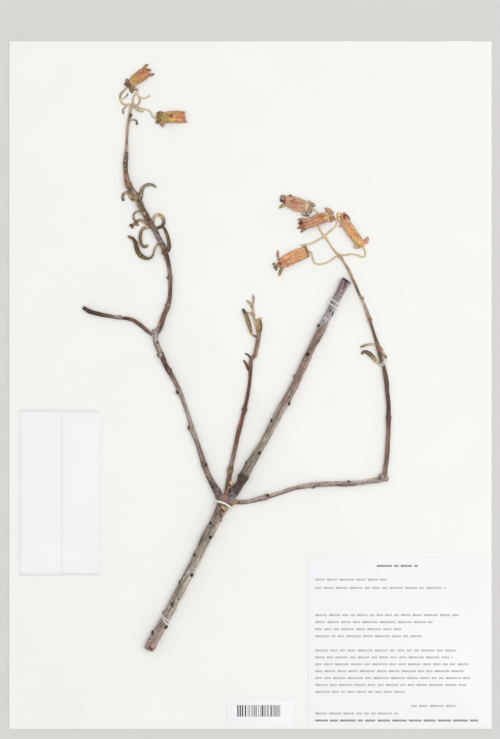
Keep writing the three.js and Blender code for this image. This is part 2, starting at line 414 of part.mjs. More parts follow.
// A closed bar along a route: a cylinder bent over the curve, with its underside cut flat where it
// lies. Called with a growth, it gives the same bar that much bigger all round.
function bar(route, kind) {
  return (growth = 0) => {
    const curve = new THREE.CatmullRomCurve3(
      route.map(([x, y, , lift = 0]) => new THREE.Vector3(x, y, lift)), false, 'centripetal');
    const stations = stationsOf(route, kind.step);
    const rings = stations.length - 1;
    const geometry = new THREE.CylinderGeometry(1, 1, 1, kind.sides, rings);
    const position = geometry.attributes.position;
    for (let i = 0; i < position.count; i += 1) {
      const t = stations[Math.round((0.5 - position.getY(i)) * rings)];
      const place = curve.getPoint(t);
      const heading = curve.getTangent(t).setZ(0).normalize();
      const index = Math.min(Math.floor(t * (route.length - 1)), route.length - 2);
      const share = t * (route.length - 1) - index;
      const width = THREE.MathUtils.lerp(route[index][2], route[index + 1][2], share);
      const height = (kind.height ?? width * kind.share) + 2 * growth;
      const halfWidth = width / 2 + growth;
      const rise = height / (1 + FLATTENING);
      const base = PAPER + Math.max(place.z, 0) - growth;
      const across = position.getX(i) * halfWidth;
      const along = t === 0 ? -growth : Number(t === 1) * growth;
      position.setXYZ(
        i,
        place.x - heading.y * across + heading.x * along,
        place.y + heading.x * across + heading.y * along,
        Math.max(base, base + rise * (FLATTENING + position.getZ(i))),
      );
    }
    return toSolid(geometry);
  };
}

// A low dome [x, y, width] that stands on the paper, for a knuckle, a scar's rim or an anther
function dome([x, y, width], height) {
  return (growth = 0) => {
    const geometry = new THREE.SphereGeometry(1, DOME_SIDES, DOME_RINGS);
    geometry.rotateX(Math.PI / 2);
    const rise = (height + 2 * growth) / (1 + FLATTENING);
    const base = PAPER - growth;
    const position = geometry.attributes.position;
    for (let i = 0; i < position.count; i += 1) {
      position.setXYZ(
        i,
        x + position.getX(i) * (width / 2 + growth),
        y + position.getY(i) * (width / 2 + growth),
        Math.max(base, base + rise * (FLATTENING + position.getZ(i))),
      );
    }
    return toSolid(geometry);
  };
}

// A rectangle of paper between two heights
function slab({ left, right, bottom, top }, low, high) {
  const geometry = new THREE.BoxGeometry(right - left, top - bottom, high - low);
  geometry.translate((left + right) / 2, (top + bottom) / 2, (low + high) / 2);
  return toSolid(geometry);
}

const fuse = (strokes, growth = 0) => wasm.Manifold.union(strokes.map((stroke) => stroke(growth)));

function biggestPiece(solid) {
  const pieces = solid.decompose();
  pieces.sort((a, b) => b.volume() - a.volume());
  return pieces[0];
}

const specimen = new THREE.Group();

function addMesh(name, geometry, colour, roughness) {
  const material = new THREE.MeshStandardMaterial({ color: colour, roughness, metalness: 0 });
  const mesh = new THREE.Mesh(geometry, material);
  mesh.name = name;
  specimen.add(mesh);
}

// Plant pieces keep clear of the ones placed before them: each is cut back by those, grown by the gap
let placed = [];

function addPlantPiece(name, strokes, colour, roughness) {
  const body = fuse(strokes);
  const kept = placed.length ? body.subtract(wasm.Manifold.union(placed)) : body;
  placed.push(fuse(strokes, GAP));
  const piece = biggestPiece(kept).asOriginal().simplify(SIMPLIFY_TOLERANCE);
  addMesh(name, toGeometry(piece), colour, roughness);
}

function addPaperGoods() {
  const half = { x: SHEET.width / 2, y: SHEET.length / 2 };
  const outline = { left: -half.x, right: half.x, bottom: -half.y, top: half.y };
  addMesh('mounting_sheet', toGeometry(slab(outline, 0, PAPER)), COLOURS.sheet, 0.9);

  // The packet: a back ply, its ends folded over, and two side flaps that overlap along the seam
  const back = slab(PACKET, PAPER, PAPER + 2 * PACKET_PLY);
  const leftEdge = PACKET.left + PACKET_FOLD / 2;
  const rightEdge = PACKET.right - PACKET_FOLD / 2;
  const hem = PACKET.seam - PACKET_OVERLAP;
  const [low, flapTop, overlapTop] = [1, 3, 4].map((plies) => PAPER + plies * PACKET_PLY);
  const leftFlap = slab({ ...PACKET, left: leftEdge, right: PACKET.seam }, low, flapTop);
  const rightFlap = slab({ ...PACKET, left: hem, right: rightEdge }, low, flapTop);
  const overlap = slab({ ...PACKET, left: hem, right: PACKET.seam }, low, overlapTop);
  addMesh('fragment_packet', toGeometry(wasm.Manifold.union([back, leftFlap, rightFlap, overlap])),
    COLOURS.packet, 0.85);

  addMesh('collection_label', toGeometry(slab(LABEL, PAPER, PAPER + LABEL.thickness)), COLOURS.label, 0.85);
  addMesh('bar_sticker', toGeometry(slab(STICKER, PAPER, PAPER + STICKER.thickness)), COLOURS.sticker, 0.6);
}

function addWood() {
  const thick = [MAIN_STEM_LOWER, MAIN_STEM_UPPER].map((route) => bar(route, WOOD));
  const slim = [LEFT_BRANCH, LEFT_TWIG, LEFT_SHOOT, CENTRE_SHOOT, RIGHT_BRANCH, RIGHT_SHOOT, ...WOOD_STUBS]
    .map((route) => bar(route, TWIG));
  const knuckles = WOOD_KNUCKLES.map((knuckle) => dome(knuckle, knuckle[2] * NODE_HEIGHT * WOOD.share));
  const scars = [...STEM_SCARS, BROKEN_STUB].map((scar) => dome(scar, SCAR_HEIGHT));
  addPlantPiece('woody_stem', [...thick, ...slim, ...knuckles, ...scars], COLOURS.wood, 0.8);
}

function addFlower(name, { base, sepals, tube, lobes, ribs, anthers, filaments = [] }) {
  addPlantPiece(`${name}_calyx`, [
    dome(base, FLOWER_BASE_HEIGHT),
    ...sepals.map((route) => bar(route, SEPAL)),
  ], COLOURS.calyx, 0.75);
  addPlantPiece(`${name}_corolla`, [
    bar(tube, COROLLA),
    ...lobes.map((route) => bar(route, LOBE)),
    ...ribs.map((route) => bar(route, RIB)),
    ...anthers.map((anther) => dome(anther, ANTHER_HEIGHT)),
    ...filaments.map((route) => bar(route, FILAMENT)),
  ], COLOURS.corolla, 0.7);
}

function addStalks() {
  addPlantPiece('left_flower_stalk', LEFT_STALK.map((route) => bar(route, PEDICEL)), COLOURS.stalk, 0.75);
  addPlantPiece('left_flower_bract', LEFT_BRACT.map((route) => bar(route, PEDICEL)), COLOURS.stalk, 0.75);
  addPlantPiece('right_flower_stalk', [
    ...RIGHT_STALK.map((route) => bar(route, PEDICEL)),
    ...RIGHT_STALK_KNUCKLES.map((knuckle) => dome(knuckle, knuckle[2] * TWIG.share)),
  ], COLOURS.stalk, 0.75);
}

function addLeaves() {
  for (const [name, strips] of Object.entries(LEAVES)) {
    const kind = THICK_LEAVES.includes(name) ? THICK_LEAF : LEAF;
    addPlantPiece(name, strips.map((route) => bar(route, kind)), COLOURS.leaf, 0.75);
  }
}

// The arch of a thread from one foot, over the wood, to the other
class ThreadArch extends THREE.Curve {
  constructor({ from, to, height, bow }) {
    super();
    this.start = new THREE.Vector2(...from);
    this.chord = new THREE.Vector2(...to).sub(this.start);
    this.aside = new THREE.Vector2(-this.chord.y, this.chord.x).normalize().multiplyScalar(bow);
    this.height = height;
  }

  getPoint(t, target = new THREE.Vector3()) {
    const angle = Math.PI * t;
    const along = (1 - Math.cos(angle)) / 2;
    const up = Math.sin(angle);
    const x = this.start.x + this.chord.x * along + this.aside.x * up;
    const y = this.start.y + this.chord.y * along + this.aside.y * up;
    return target.set(x, y, PAPER + this.height * up ** THREAD.uprightness);
  }
}

function addTie(name, tie) {
  const section = new THREE.Shape();
  section.absarc(0, 0, THREAD.radius, 0, 2 * Math.PI);
  const geometry = new THREE.ExtrudeGeometry(section, {
    steps: THREAD.steps,
    curveSegments: THREAD.sides / 2,
    extrudePath: new ThreadArch(tie),
  });
  const position = geometry.attributes.position;
  for (let i = 0; i < position.count; i += 1) {
    position.setZ(i, Math.max(PAPER, position.getZ(i)));
  }
  addMesh(name, toGeometry(toSolid(geometry)), COLOURS.thread, 0.8);
}

addPaperGoods();
addWood();
Object.entries(FLOWERS).forEach(([name, flower]) => addFlower(name, flower));
addStalks();
addLeaves();
Object.entries(TIES).forEach(([name, tie]) => addTie(name, tie));

export default specimen;
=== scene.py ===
# %% [markdown]
# # A pressed branch, stitched to its mounting sheet
# The real object is a dried and pressed branch of a shrubby kalanchoe. It lies on stiff white paper and
# thread holds it down, with a folded packet, a label and a sticker glued beside it.
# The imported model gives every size. This lesson builds finer pieces over it, one cell at a time.

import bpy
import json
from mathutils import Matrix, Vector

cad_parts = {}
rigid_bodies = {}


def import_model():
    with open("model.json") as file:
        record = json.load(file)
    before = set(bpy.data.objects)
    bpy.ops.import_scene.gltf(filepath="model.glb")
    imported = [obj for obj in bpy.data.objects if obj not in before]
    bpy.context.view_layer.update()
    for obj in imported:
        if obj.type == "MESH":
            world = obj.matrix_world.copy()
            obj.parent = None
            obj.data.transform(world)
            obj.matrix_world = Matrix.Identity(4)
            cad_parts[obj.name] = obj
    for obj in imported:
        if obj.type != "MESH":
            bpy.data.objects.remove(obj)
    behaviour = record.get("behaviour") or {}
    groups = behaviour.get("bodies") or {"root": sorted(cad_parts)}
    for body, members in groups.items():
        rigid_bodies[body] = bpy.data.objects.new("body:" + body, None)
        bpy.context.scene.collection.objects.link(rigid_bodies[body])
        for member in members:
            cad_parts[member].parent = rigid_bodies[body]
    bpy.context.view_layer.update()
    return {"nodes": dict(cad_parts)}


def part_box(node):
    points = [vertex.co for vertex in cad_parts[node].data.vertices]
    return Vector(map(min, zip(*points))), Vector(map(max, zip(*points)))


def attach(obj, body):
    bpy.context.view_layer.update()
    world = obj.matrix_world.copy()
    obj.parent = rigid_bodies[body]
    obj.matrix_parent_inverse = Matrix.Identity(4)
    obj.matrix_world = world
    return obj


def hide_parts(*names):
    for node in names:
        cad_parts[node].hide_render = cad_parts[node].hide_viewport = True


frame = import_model()
print("nodes in the frame:", len(frame["nodes"]))

# %% [markdown]
# # Units and small helpers
# Blender counts in metres, but a branch is easier to think of in millimetres. So every mesh is worked on
# in millimetres and scaled once, when it becomes a piece of the scene.

# %% Units, meshes and pieces
import json
import math
import random
from bisect import bisect

import bmesh
import bpy
from mathutils import Matrix, Vector, noise
from mathutils.bvhtree import BVHTree
from mathutils.kdtree import KDTree

MM = 0.001
PAPER_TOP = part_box("mounting_sheet")[1].z / MM
SPECULAR = 0.3


def linear(hex_colour):
    """An sRGB hex colour as linear light, with alpha."""
    channels = [int(hex_colour[i:i + 2], 16) / 255 for i in (1, 3, 5)]
    lit = [c / 12.92 if c <= 0.04045 else ((c + 0.055) / 1.055) ** 2.4 for c in channels]
    return (*lit, 1.0)


def light_of(hex_colour):
    """The same without alpha, as a vector that can be blended."""
    return Vector(linear(hex_colour)[:3])


def show(name, data):
    """Puts an object with this data into the scene."""
    shown = bpy.data.objects.new(name, data)
    bpy.context.scene.collection.objects.link(shown)
    return shown


def to_mesh(name, bm):
    """Turns a bmesh into a mesh and lets it go."""
    mesh = bpy.data.meshes.new(name)
    bm.to_mesh(mesh)
    bm.free()
    return mesh


def make_piece(name, bm, material, slot, *nodes):
    """Turns a mesh in millimetres into a piece of the scene that stands for CAD nodes."""
    bmesh.ops.scale(bm, vec=(MM, MM, MM), verts=bm.verts)
    mesh = to_mesh(name, bm)
    mesh.shade_smooth()
    mesh.materials.append(material)
    piece = show(name, mesh)
    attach(piece, "root")
    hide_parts(*nodes)
    corners = mesh.vertices
    longest = max((corners[e.vertices[0]].co - corners[e.vertices[1]].co).length for e in mesh.edges)
    print(f"{name}: {len(mesh.polygons)} faces, longest edge {longest / MM:.1f} mm")
    return piece


def rest_on_paper(bm):
    """Keeps every point of a mesh above the sheet."""
    for vert in bm.verts:
        vert.co.z = max(vert.co.z, PAPER_TOP)


def thicken(bm, thickness):
    """Gives an open surface the thickness of its wall."""
    bmesh.ops.recalc_face_normals(bm, faces=bm.faces)
    bmesh.ops.solidify(bm, geom=bm.faces[:], thickness=thickness)


print("the sheet's top is at", round(PAPER_TOP, 2), "mm")

# %% [markdown]
# Materials are built from a few kinds of nodes. One function adds any node, and small ones on top of it
# make what every material needs: noise of a real size, a blend of two tones, and a colour with a bump.

# %% Nodes of the materials
# The part of a noise's range that gets spread out. What lies below or above it is cut off
NARROW = (0.35, 0.65)
WIDE = (0.3, 0.7)


def add(tree, kind, inputs=(), **settings):
    """Adds one shader node, sets it up, and fills or links its inputs."""
    node = tree.nodes.new("ShaderNode" + kind)
    for name, value in settings.items():
        setattr(node, name, value)
    for socket, value in dict(inputs).items():
        if isinstance(value, bpy.types.NodeSocket):
            tree.links.new(value, node.inputs[socket])
        else:
            node.inputs[socket].default_value = value
    return node


def start_material(name, roughness, sheen=0.0):
    """A new material with its node tree and its shader."""
    material = bpy.data.materials.new(name)
    material.use_nodes = True
    shader = material.node_tree.nodes["Principled BSDF"]
    shader.inputs["Roughness"].default_value = roughness
    shader.inputs["Sheen Weight"].default_value = sheen
    shader.inputs["Specular IOR Level"].default_value = SPECULAR
    return material, material.node_tree, shader


def noise_in_mm(tree, size_mm, detail):
    """Noise over the object, with spots of a real size."""
    place = add(tree, "TexCoord").outputs["Object"]
    spots = {"Vector": place, "Scale": 1 / (size_mm * MM), "Detail": detail}
    return add(tree, "TexNoise", spots).outputs["Fac"]


def spread_out(tree, value, used, low=0.0, high=1.0):
    """Spreads the middle of a noise over another range."""
    limits = {"Value": value, "From Min": used[0], "From Max": used[1], "To Min": low, "To Max": high}
    return add(tree, "MapRange", limits).outputs[0]


def mix_tones(tree, share, first, second):
    """A blend of two hex colours."""
    tones = {0: share, 6: linear(first), 7: linear(second)}
    return add(tree, "Mix", tones, data_type="RGBA").outputs[2]


def multiply(tree, colour, other):
    """One colour times another."""
    both = {0: 1.0, 6: colour, 7: other}
    return add(tree, "Mix", both, data_type="RGBA", blend_type="MULTIPLY").outputs[2]


def link_looks(tree, shader, colour, height=None, strength=0.5, relief_mm=0.0):
    """Links a colour to the shader, and a bump where there is a height."""
    tree.links.new(colour, shader.inputs["Base Color"])
    if height is not None:
        bump = add(tree, "Bump", {"Height": height, "Strength": strength, "Distance": relief_mm * MM})
        tree.links.new(bump.outputs["Normal"], shader.inputs["Normal"])


print("middle grey as linear light:", round(linear("#808080")[0], 3))

# %% [markdown]
# # Camera
# A mounted sheet is copied from straight above. The camera hangs over the sheet, a little above its
# middle, with a long lens, so that stems show no sides. Its frame is as tall as it needs to be there.

# %% Hang the camera over the sheet
FRAME_CENTRE = Vector((-0.24, 9.48))
FRAME_HEIGHT = 450.75
LENS = 85.0
SENSOR = 36.0

camera_data = bpy.data.cameras.new("copy_stand_camera")
camera_data.lens = LENS
camera_data.sensor_width = SENSOR
camera = show("copy_stand_camera", camera_data)
camera_height = PAPER_TOP + FRAME_HEIGHT * LENS / SENSOR
camera.location = Vector((*FRAME_CENTRE, camera_height)) * MM
bpy.context.scene.camera = camera
print(f"camera {camera_height:.0f} mm above the table")

# %% [markdown]
# # Light and table
# White paper has to stay white without burning out, and the stems only throw a faint shadow to their
# left. An even pale sky does most of the lighting, and one large softbox on the right adds the modelling.
# The display is set to plain sRGB, so that a paint colour comes out as it was picked.

# %% Sky, softbox and table top
SKY_STRENGTH = 0.82
SOFTBOX_PLACE = Vector((5.2, 1.0, 6.8))
SOFTBOX_SIZE = 5.2
SOFTBOX_POWER = 185.0
TABLE_SIZE = 4.0
TABLE_DROP = 0.2
TABLE_GRAIN_MM = 25.0

bpy.context.scene.view_settings.view_transform = "Standard"
sky = bpy.data.worlds.new("pale_sky")
sky.use_nodes = True
background = sky.node_tree.nodes["Background"]
background.inputs["Color"].default_value = linear("#FFFFFF")
background.inputs["Strength"].default_value = SKY_STRENGTH
bpy.context.scene.world = sky

softbox_data = bpy.data.lights.new("softbox", "AREA")
softbox_data.size = SOFTBOX_SIZE
softbox_data.energy = SOFTBOX_POWER
softbox = show("softbox", softbox_data)
softbox.location = SOFTBOX_PLACE
softbox.rotation_euler = SOFTBOX_PLACE.to_track_quat("Z", "Y").to_euler()

table_bm = bmesh.new()
bmesh.ops.create_grid(table_bm, x_segments=1, y_segments=1, size=TABLE_SIZE / 2)
bmesh.ops.translate(table_bm, vec=(0, 0, -TABLE_DROP * MM), verts=table_bm.verts)
table = show("table_top", to_mesh("table_top", table_bm))

table_paint, tree, shader = start_material("matt_table_paint", 0.8)
link_looks(tree, shader, mix_tones(tree, noise_in_mm(tree, TABLE_GRAIN_MM, 2.0), "#D6D5D1", "#DAD9D6"))
table.data.materials.append(table_paint)
print("softbox at", [round(v, 2) for v in softbox.location])

# %% [markdown]
# # Paper
# Rag paper is matt and made of matted fibres: up close it has a fine tooth, from afar a faint mottle.
# One function makes each paper from its own two tones, with the fibres' width as the pattern's real size.
# The fibres are drawn about 0.4 mm wide, coarser than real ones, so that they show at all.

# %% Paper materials
MOTTLE_MM = 35.0
FIBRE_SHARE = 0.45
INK_SPECK_MM = 0.5


def paper_material(name, pale, shade, fibre_mm, roughness, tooth_mm):
    """Matt paper: a broad mottle in two tones, and a fine tooth of fibres."""
    material, tree, shader = start_material(name, roughness)
    mottle = noise_in_mm(tree, MOTTLE_MM, 4.0)
    fibres = noise_in_mm(tree, fibre_mm, 5.0)
    both = add(tree, "Mix", {0: FIBRE_SHARE, 2: mottle, 3: fibres}).outputs[0]
    colour = mix_tones(tree, spread_out(tree, both, NARROW), pale, shade)
    link_looks(tree, shader, colour, fibres, strength=0.5, relief_mm=tooth_mm)
    return material


mounting_paper = paper_material("rag_mounting_paper", "#F8F8F4", "#F5F5F1",
                                fibre_mm=0.4, roughness=0.9, tooth_mm=0.04)
packet_paper = paper_material("thin_packet_paper", "#F5F5F6", "#F2F2F4",
                              fibre_mm=0.3, roughness=0.85, tooth_mm=0.02)
label_paper = paper_material("bond_label_paper", "#F9F9FB", "#F6F6F8",
                             fibre_mm=0.3, roughness=0.85, tooth_mm=0.02)
sticker_paper = paper_material("smooth_sticker_paper", "#F8F8FA", "#F5F5F7",
                               fibre_mm=0.3, roughness=0.6, tooth_mm=0.01)


def ink_material(name, dark, worn):
    """Dry printing ink on paper, thinner in specks."""
    material, tree, shader = start_material(name, 0.7)
    link_looks(tree, shader, mix_tones(tree, noise_in_mm(tree, INK_SPECK_MM, 3.0), dark, worn))
    return material


pale_ink = ink_material("faded_grey_ink", "#BFBFC4", "#DCDCE0")
grey_ink = ink_material("grey_ink", "#8C8B93", "#B4B4BB")
black_ink = ink_material("black_ink", "#2B2A2D", "#4A494D")
print("papers and inks:", len(bpy.data.materials))

# %% [markdown]
# # Sheet, label and sticker
# These are flat cut paper. A cube that is scaled to size and bevelled is enough: its corners are rounded
# a little, as handled paper is, and its cut edge gets a fine soft line that catches the light.

# %% Cut paper with rounded corners
def add_box(bm, low, high):
    """Adds a box between two corners and returns its points."""
    place = Matrix.Translation((low + high) / 2) @ Matrix.Diagonal((*(high - low), 1))
    return bmesh.ops.create_cube(bm, size=1, matrix=place)["verts"]


def round_off(bm, edges, offset, segments):
    """Rounds some edges of a mesh."""
    bmesh.ops.bevel(bm, geom=edges, offset=offset, offset_type="OFFSET", affect="EDGES",
                    segments=segments, profile=0.5, material=-1)


def cut_paper(low, high, corner, edge):
    """A thin rectangle of paper between two corners in millimetres."""
    bm = bmesh.new()
    add_box(bm, low, high)
    half_height = (high.z - low.z) / 2
    upright = [e for e in bm.edges if abs(e.verts[0].co.z - e.verts[1].co.z) > half_height]
    round_off(bm, upright, corner, 4)
    rim = [e for e in bm.edges if min(v.co.z for v in e.verts) > high.z - edge / 2]
    round_off(bm, rim, edge, 2)
    return bm


def node_corners(node):
    """A CAD node's lowest and highest corners, in millimetres."""
    low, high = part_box(node)
    return low / MM, high / MM


sheet_bm = cut_paper(*node_corners("mounting_sheet"), corner=0.7, edge=0.12)
make_piece("cut_mounting_sheet", sheet_bm, mounting_paper, "sheet_paper", "mounting_sheet")

# %% [markdown]
# # Generic print
# The label carries only rows of plain grey dashes, and the sticker only plain bars of mixed widths.
# Each mark is a low box of ink, two hundredths of a millimetre high, so it exists in the mesh as well.
# The dashes and the bars are drawn at random from a fixed seed.

# %% Rows of dashes on the label
INK_HEIGHT = 0.02
INK_SINK = 0.01
DASH_HEIGHT = 1.15
DASH_LENGTHS = (2.6, 9.5)
DASH_GAP = 1.3
ROW_SEED = 11
# Each row: its distance below the label's top edge, its start and its end along the label
LABEL_ROWS = [
    (13, 4.5, 48), (18, 4.5, 84), (34.6, 4.5, 92), (38.9, 4.5, 76), (43.2, 4.5, 57), (47.5, 4.5, 70),
    (56.2, 4.5, 90), (60.4, 4.5, 88), (64.6, 4.5, 99), (68.8, 4.5, 95), (73, 4.5, 100), (77.2, 4.5, 97),
    (81.4, 4.5, 60), (90, 63, 90), (94.6, 4.5, 55),
]
DARK_ROWS = [(4.6, 42, 67), (98.9, 4.5, 104)]


def add_ink_box(bm, left, right, bottom, top, surface, ink):
    """One low box of ink, sunk a little into the paper, in the piece's ink material."""
    low = Vector((left, bottom, surface - INK_SINK))
    high = Vector((right, top, surface + INK_HEIGHT))
    for corner in add_box(bm, low, high):
        for face in corner.link_faces:
            face.material_index = ink


def print_rows(bm, rows, corner, surface, draw, ink):
    """Rows of dashes of mixed lengths, below and right of the label's upper left corner."""
    for drop, start, end in rows:
        along = corner.x + start
        top = corner.y - drop
        while along < corner.x + end:
            dash = min(draw.uniform(*DASH_LENGTHS), corner.x + end - along)
            add_ink_box(bm, along, along + dash, top - DASH_HEIGHT, top, surface, ink)
            along += dash + DASH_GAP


label_low, label_high = node_corners("collection_label")
label_corner = Vector((label_low.x, label_high.y))
label_bm = cut_paper(label_low, label_high, corner=0.3, edge=0.06)
row_draw = random.Random(ROW_SEED)
print_rows(label_bm, LABEL_ROWS, label_corner, label_high.z, row_draw, ink=1)
print_rows(label_bm, DARK_ROWS, label_corner, label_high.z, row_draw, ink=2)
label = make_piece("ruled_label", label_bm, label_paper, "label_paper", "collection_label")
label.data.materials.append(pale_ink)
label.data.materials.append(grey_ink)

# %% Bars on the sticker
BAR_MARGIN = (6.5, 7.0)
BAR_SPAN = (6.7, 13.7)
BAR_WIDTHS = (0.35, 0.5, 0.8)
BAR_SPACES = (0.4, 0.6, 1.0)
BAR_SEED = 5

sticker_low, sticker_high = node_corners("bar_sticker")
sticker_bm = cut_paper(sticker_low, sticker_high, corner=1.0, edge=0.06)
bar_draw = random.Random(BAR_SEED)
bar_left = sticker_low.x + BAR_MARGIN[0]
while bar_left < sticker_high.x - BAR_MARGIN[1]:
    bar_width = bar_draw.choice(BAR_WIDTHS)
    add_ink_box(sticker_bm, bar_left, bar_left + bar_width, sticker_low.y + BAR_SPAN[0],
                sticker_low.y + BAR_SPAN[1], sticker_high.z, ink=1)
    bar_left += bar_width + bar_draw.choice(BAR_SPACES)
sticker = make_piece("barred_sticker", sticker_bm, sticker_paper, "sticker_paper", "bar_sticker")
sticker.data.materials.append(black_ink)

# %% [markdown]
# # The folded packet
# The packet is one piece of thin paper, folded from both sides over its middle, with the left flap on
# top. It is folded here the same way: an edge is extruded along the sheet, spun half a turn at each fold,
# and the paper then gets its thickness. What lies inside lifts the flaps by a millimetre or so.

# %% Fold the packet
PLY = 0.18
FOLD_STEPS = 8
SEAM_X = -115.0
HEM_X = -124.0
FLAP_SEGMENTS = 14
LENGTH_SEGMENTS = 40
FLAP_LIFT = 0.32
# The bulge over what lies inside: its height, how soon it is full across and along, and the spot where
# it is highest, as shares of the packet's half size
PACKET_BULGE = 1.1
FULL_ACROSS = 4
FULL_ALONG = 6
EVEN_SHARE = 0.35
PEAK_SHARE = 0.65
PEAK = (0.25, 0.35)
PEAK_SPREAD = 0.25
CRINKLE_MM = 0.12
CRINKLE_RUN = (14, 22)

packet_low, packet_high = node_corners("fragment_packet")


def extrude_edge_row(bm, edges, offset, cuts):
    """Pulls a row of edges out in several steps and returns the last row."""
    for _ in range(cuts):
        result = bmesh.ops.extrude_edge_only(bm, edges=edges)["geom"]
        moved = [v for v in result if isinstance(v, bmesh.types.BMVert)]
        bmesh.ops.translate(bm, vec=offset / cuts, verts=moved)
        edges = [e for e in result if isinstance(e, bmesh.types.BMEdge)
                 and e.verts[0] in moved and e.verts[1] in moved]
    return edges


def fold_edge_row(bm, edges, centre):
    """Spins a row of edges half a turn, as a fold does, and returns the last row."""
    result = bmesh.ops.spin(bm, geom=edges, cent=centre, axis=(0, 1, 0), angle=math.pi,
                            steps=FOLD_STEPS, use_merge=False, use_duplicate=False)
    return [e for e in result["geom_last"] if isinstance(e, bmesh.types.BMEdge)]


packet_bm = bmesh.new()
back_z = PAPER_TOP + PLY / 2
inner_z = back_z + FLAP_LIFT
outer_z = inner_z + FLAP_LIFT
right_radius = (inner_z - back_z) / 2
left_radius = (outer_z - back_z) / 2
fold_right = packet_high.x - right_radius - PLY / 2
fold_left = packet_low.x + left_radius + PLY / 2
along_hem = []
for i in range(LENGTH_SEGMENTS + 1):
    y = packet_low.y + (packet_high.y - packet_low.y) * (i / LENGTH_SEGMENTS)
    along_hem.append(packet_bm.verts.new((HEM_X, y, inner_z)))
row = [packet_bm.edges.new(pair) for pair in zip(along_hem, along_hem[1:])]
row = extrude_edge_row(packet_bm, row, Vector((fold_right - HEM_X, 0, 0)), FLAP_SEGMENTS)
row = fold_edge_row(packet_bm, row, (fold_right, 0, back_z + right_radius))
row = extrude_edge_row(packet_bm, row, Vector((fold_left - fold_right, 0, 0)), FLAP_SEGMENTS)
row = fold_edge_row(packet_bm, row, (fold_left, 0, back_z + left_radius))
row = extrude_edge_row(packet_bm, row, Vector((SEAM_X - fold_left, 0, 0)), FLAP_SEGMENTS)

packet_middle = (packet_low + packet_high) / 2
packet_half = (packet_high - packet_low) / 2
for vert in packet_bm.verts:
    across = (vert.co.x - packet_middle.x) / packet_half.x
    along = (vert.co.y - packet_middle.y) / packet_half.y
    layer = (vert.co.z - back_z) / (outer_z - back_z)
    pillow = max(0.0, 1 - across ** FULL_ACROSS) * max(0.0, 1 - along ** FULL_ALONG)
    peak = math.exp(-((across - PEAK[0]) ** 2 + (along - PEAK[1]) ** 2) / PEAK_SPREAD)
    lift = PACKET_BULGE * pillow * (EVEN_SHARE + PEAK_SHARE * peak)
    spot = Vector((vert.co.x / CRINKLE_RUN[0], vert.co.y / CRINKLE_RUN[1], 3.0))
    crinkle = CRINKLE_MM * noise.noise(spot)
    vert.co.z += max(0.0, layer) * (lift + crinkle * pillow)
thicken(packet_bm, PLY)
rest_on_paper(packet_bm)
make_piece("folded_packet", packet_bm, packet_paper, "packet_paper", "fragment_packet")

# %% [markdown]
# # Bending straight things along a route
# Stems, leaves and petals all lie along a line on the paper. Each is made straight first, because
# bmesh operators work best on a straight thing, and then bent along its route like a wire.
# The route runs smoothly through a few given points, which also give its width.

# %% Routes
SAMPLE_MM = 0.25


def smooth_point(before, start, end, after, share):
    """A point between start and end on the centripetal curve through four points."""
    knots = [0.0]
    for a, b in ((before, start), (start, end), (end, after)):
        knots.append(knots[-1] + math.sqrt((b - a).length))
    at = knots[1] + (knots[2] - knots[1]) * share
    row = [before, start, end, after]
    for level in (1, 2):
        row = [row[i].lerp(row[i + 1], (at - knots[i]) / (knots[i + level] - knots[i]))
               for i in range(len(row) - 1)]
    return row[0].lerp(row[1], (at - knots[1]) / (knots[2] - knots[1]))


class Route:
    """A smooth line over the paper through points [x, y, width] or [x, y, width, lift]."""

    def __init__(self, points):
        places = [Vector((p[0], p[1], p[3] if len(p) > 3 else 0.0)) for p in points]
        ghosts = [2 * places[0] - places[1], *places, 2 * places[-1] - places[-2]]
        self.places = [places[0]]
        self.widths = [points[0][2]]
        self.distances = [0.0]
        for i in range(len(places) - 1):
            steps = max(2, round((places[i + 1] - places[i]).length / SAMPLE_MM))
            for j in range(1, steps + 1):
                place = smooth_point(*ghosts[i:i + 4], j / steps)
                self.distances.append(self.distances[-1] + (place - self.places[-1]).length)
                self.places.append(place)
                self.widths.append(points[i][2] + (points[i + 1][2] - points[i][2]) * j / steps)
        self.length = self.distances[-1]

    def at(self, distance):
        """The place, the direction and the width at a distance from the start."""
        last = len(self.distances) - 1
        i = min(max(bisect(self.distances, distance) - 1, 0), last - 1)
        share = (distance - self.distances[i]) / (self.distances[i + 1] - self.distances[i])
        place = self.places[i].lerp(self.places[i + 1], share)
        width = self.widths[i] + (self.widths[i + 1] - self.widths[i]) * min(max(share, 0), 1)
        heading = (self.places[min(i + 3, last)] - self.places[max(i - 2, 0)]).to_2d().normalized()
        return place, heading, width

    def nearest(self, x, y):
        """How far along the route a spot on the paper is."""
        spot = Vector((x, y))
        gaps = [(place.to_2d() - spot).length_squared for place in self.places]
        return self.distances[gaps.index(min(gaps))]


class Tones:
    """Paint along a route: colours at a few distances, blended between them."""

    def __init__(self, stops):
        self.distances = [stop[0] for stop in stops]
        self.colours = [light_of(stop[1]) for stop in stops]

    def at(self, distance):
        i = bisect(self.distances, distance)
        if i == 0 or i == len(self.distances):
            return self.colours[min(i, len(self.distances) - 1)].copy()
        share = (distance - self.distances[i - 1]) / (self.distances[i] - self.distances[i - 1])
        return self.colours[i - 1].lerp(self.colours[i], share)


print("a point half way round a corner:", smooth_point(
    Vector((0, 0)), Vector((1, 0)), Vector((1, 1)), Vector((0, 1)), 0.5))

# %% [markdown]
# A pressed stem is round on top and flat where it lay against the paper. So the straight bar is a
# cylinder with many rings, and its lower part is pushed flat as it is bent. Two mesh attributes go with
# every piece: `grain`, where a point was on the straight bar, and `tone`, its paint.

# %% Bars, and the paint that goes with them
FLATTENING = 0.5
SEAM_GAP = 1e-4
DOME_SIDES = 20
DOME_RINGS = 12
DOME_LUMPS = 1.7
DOME_MOTTLE = 0.25


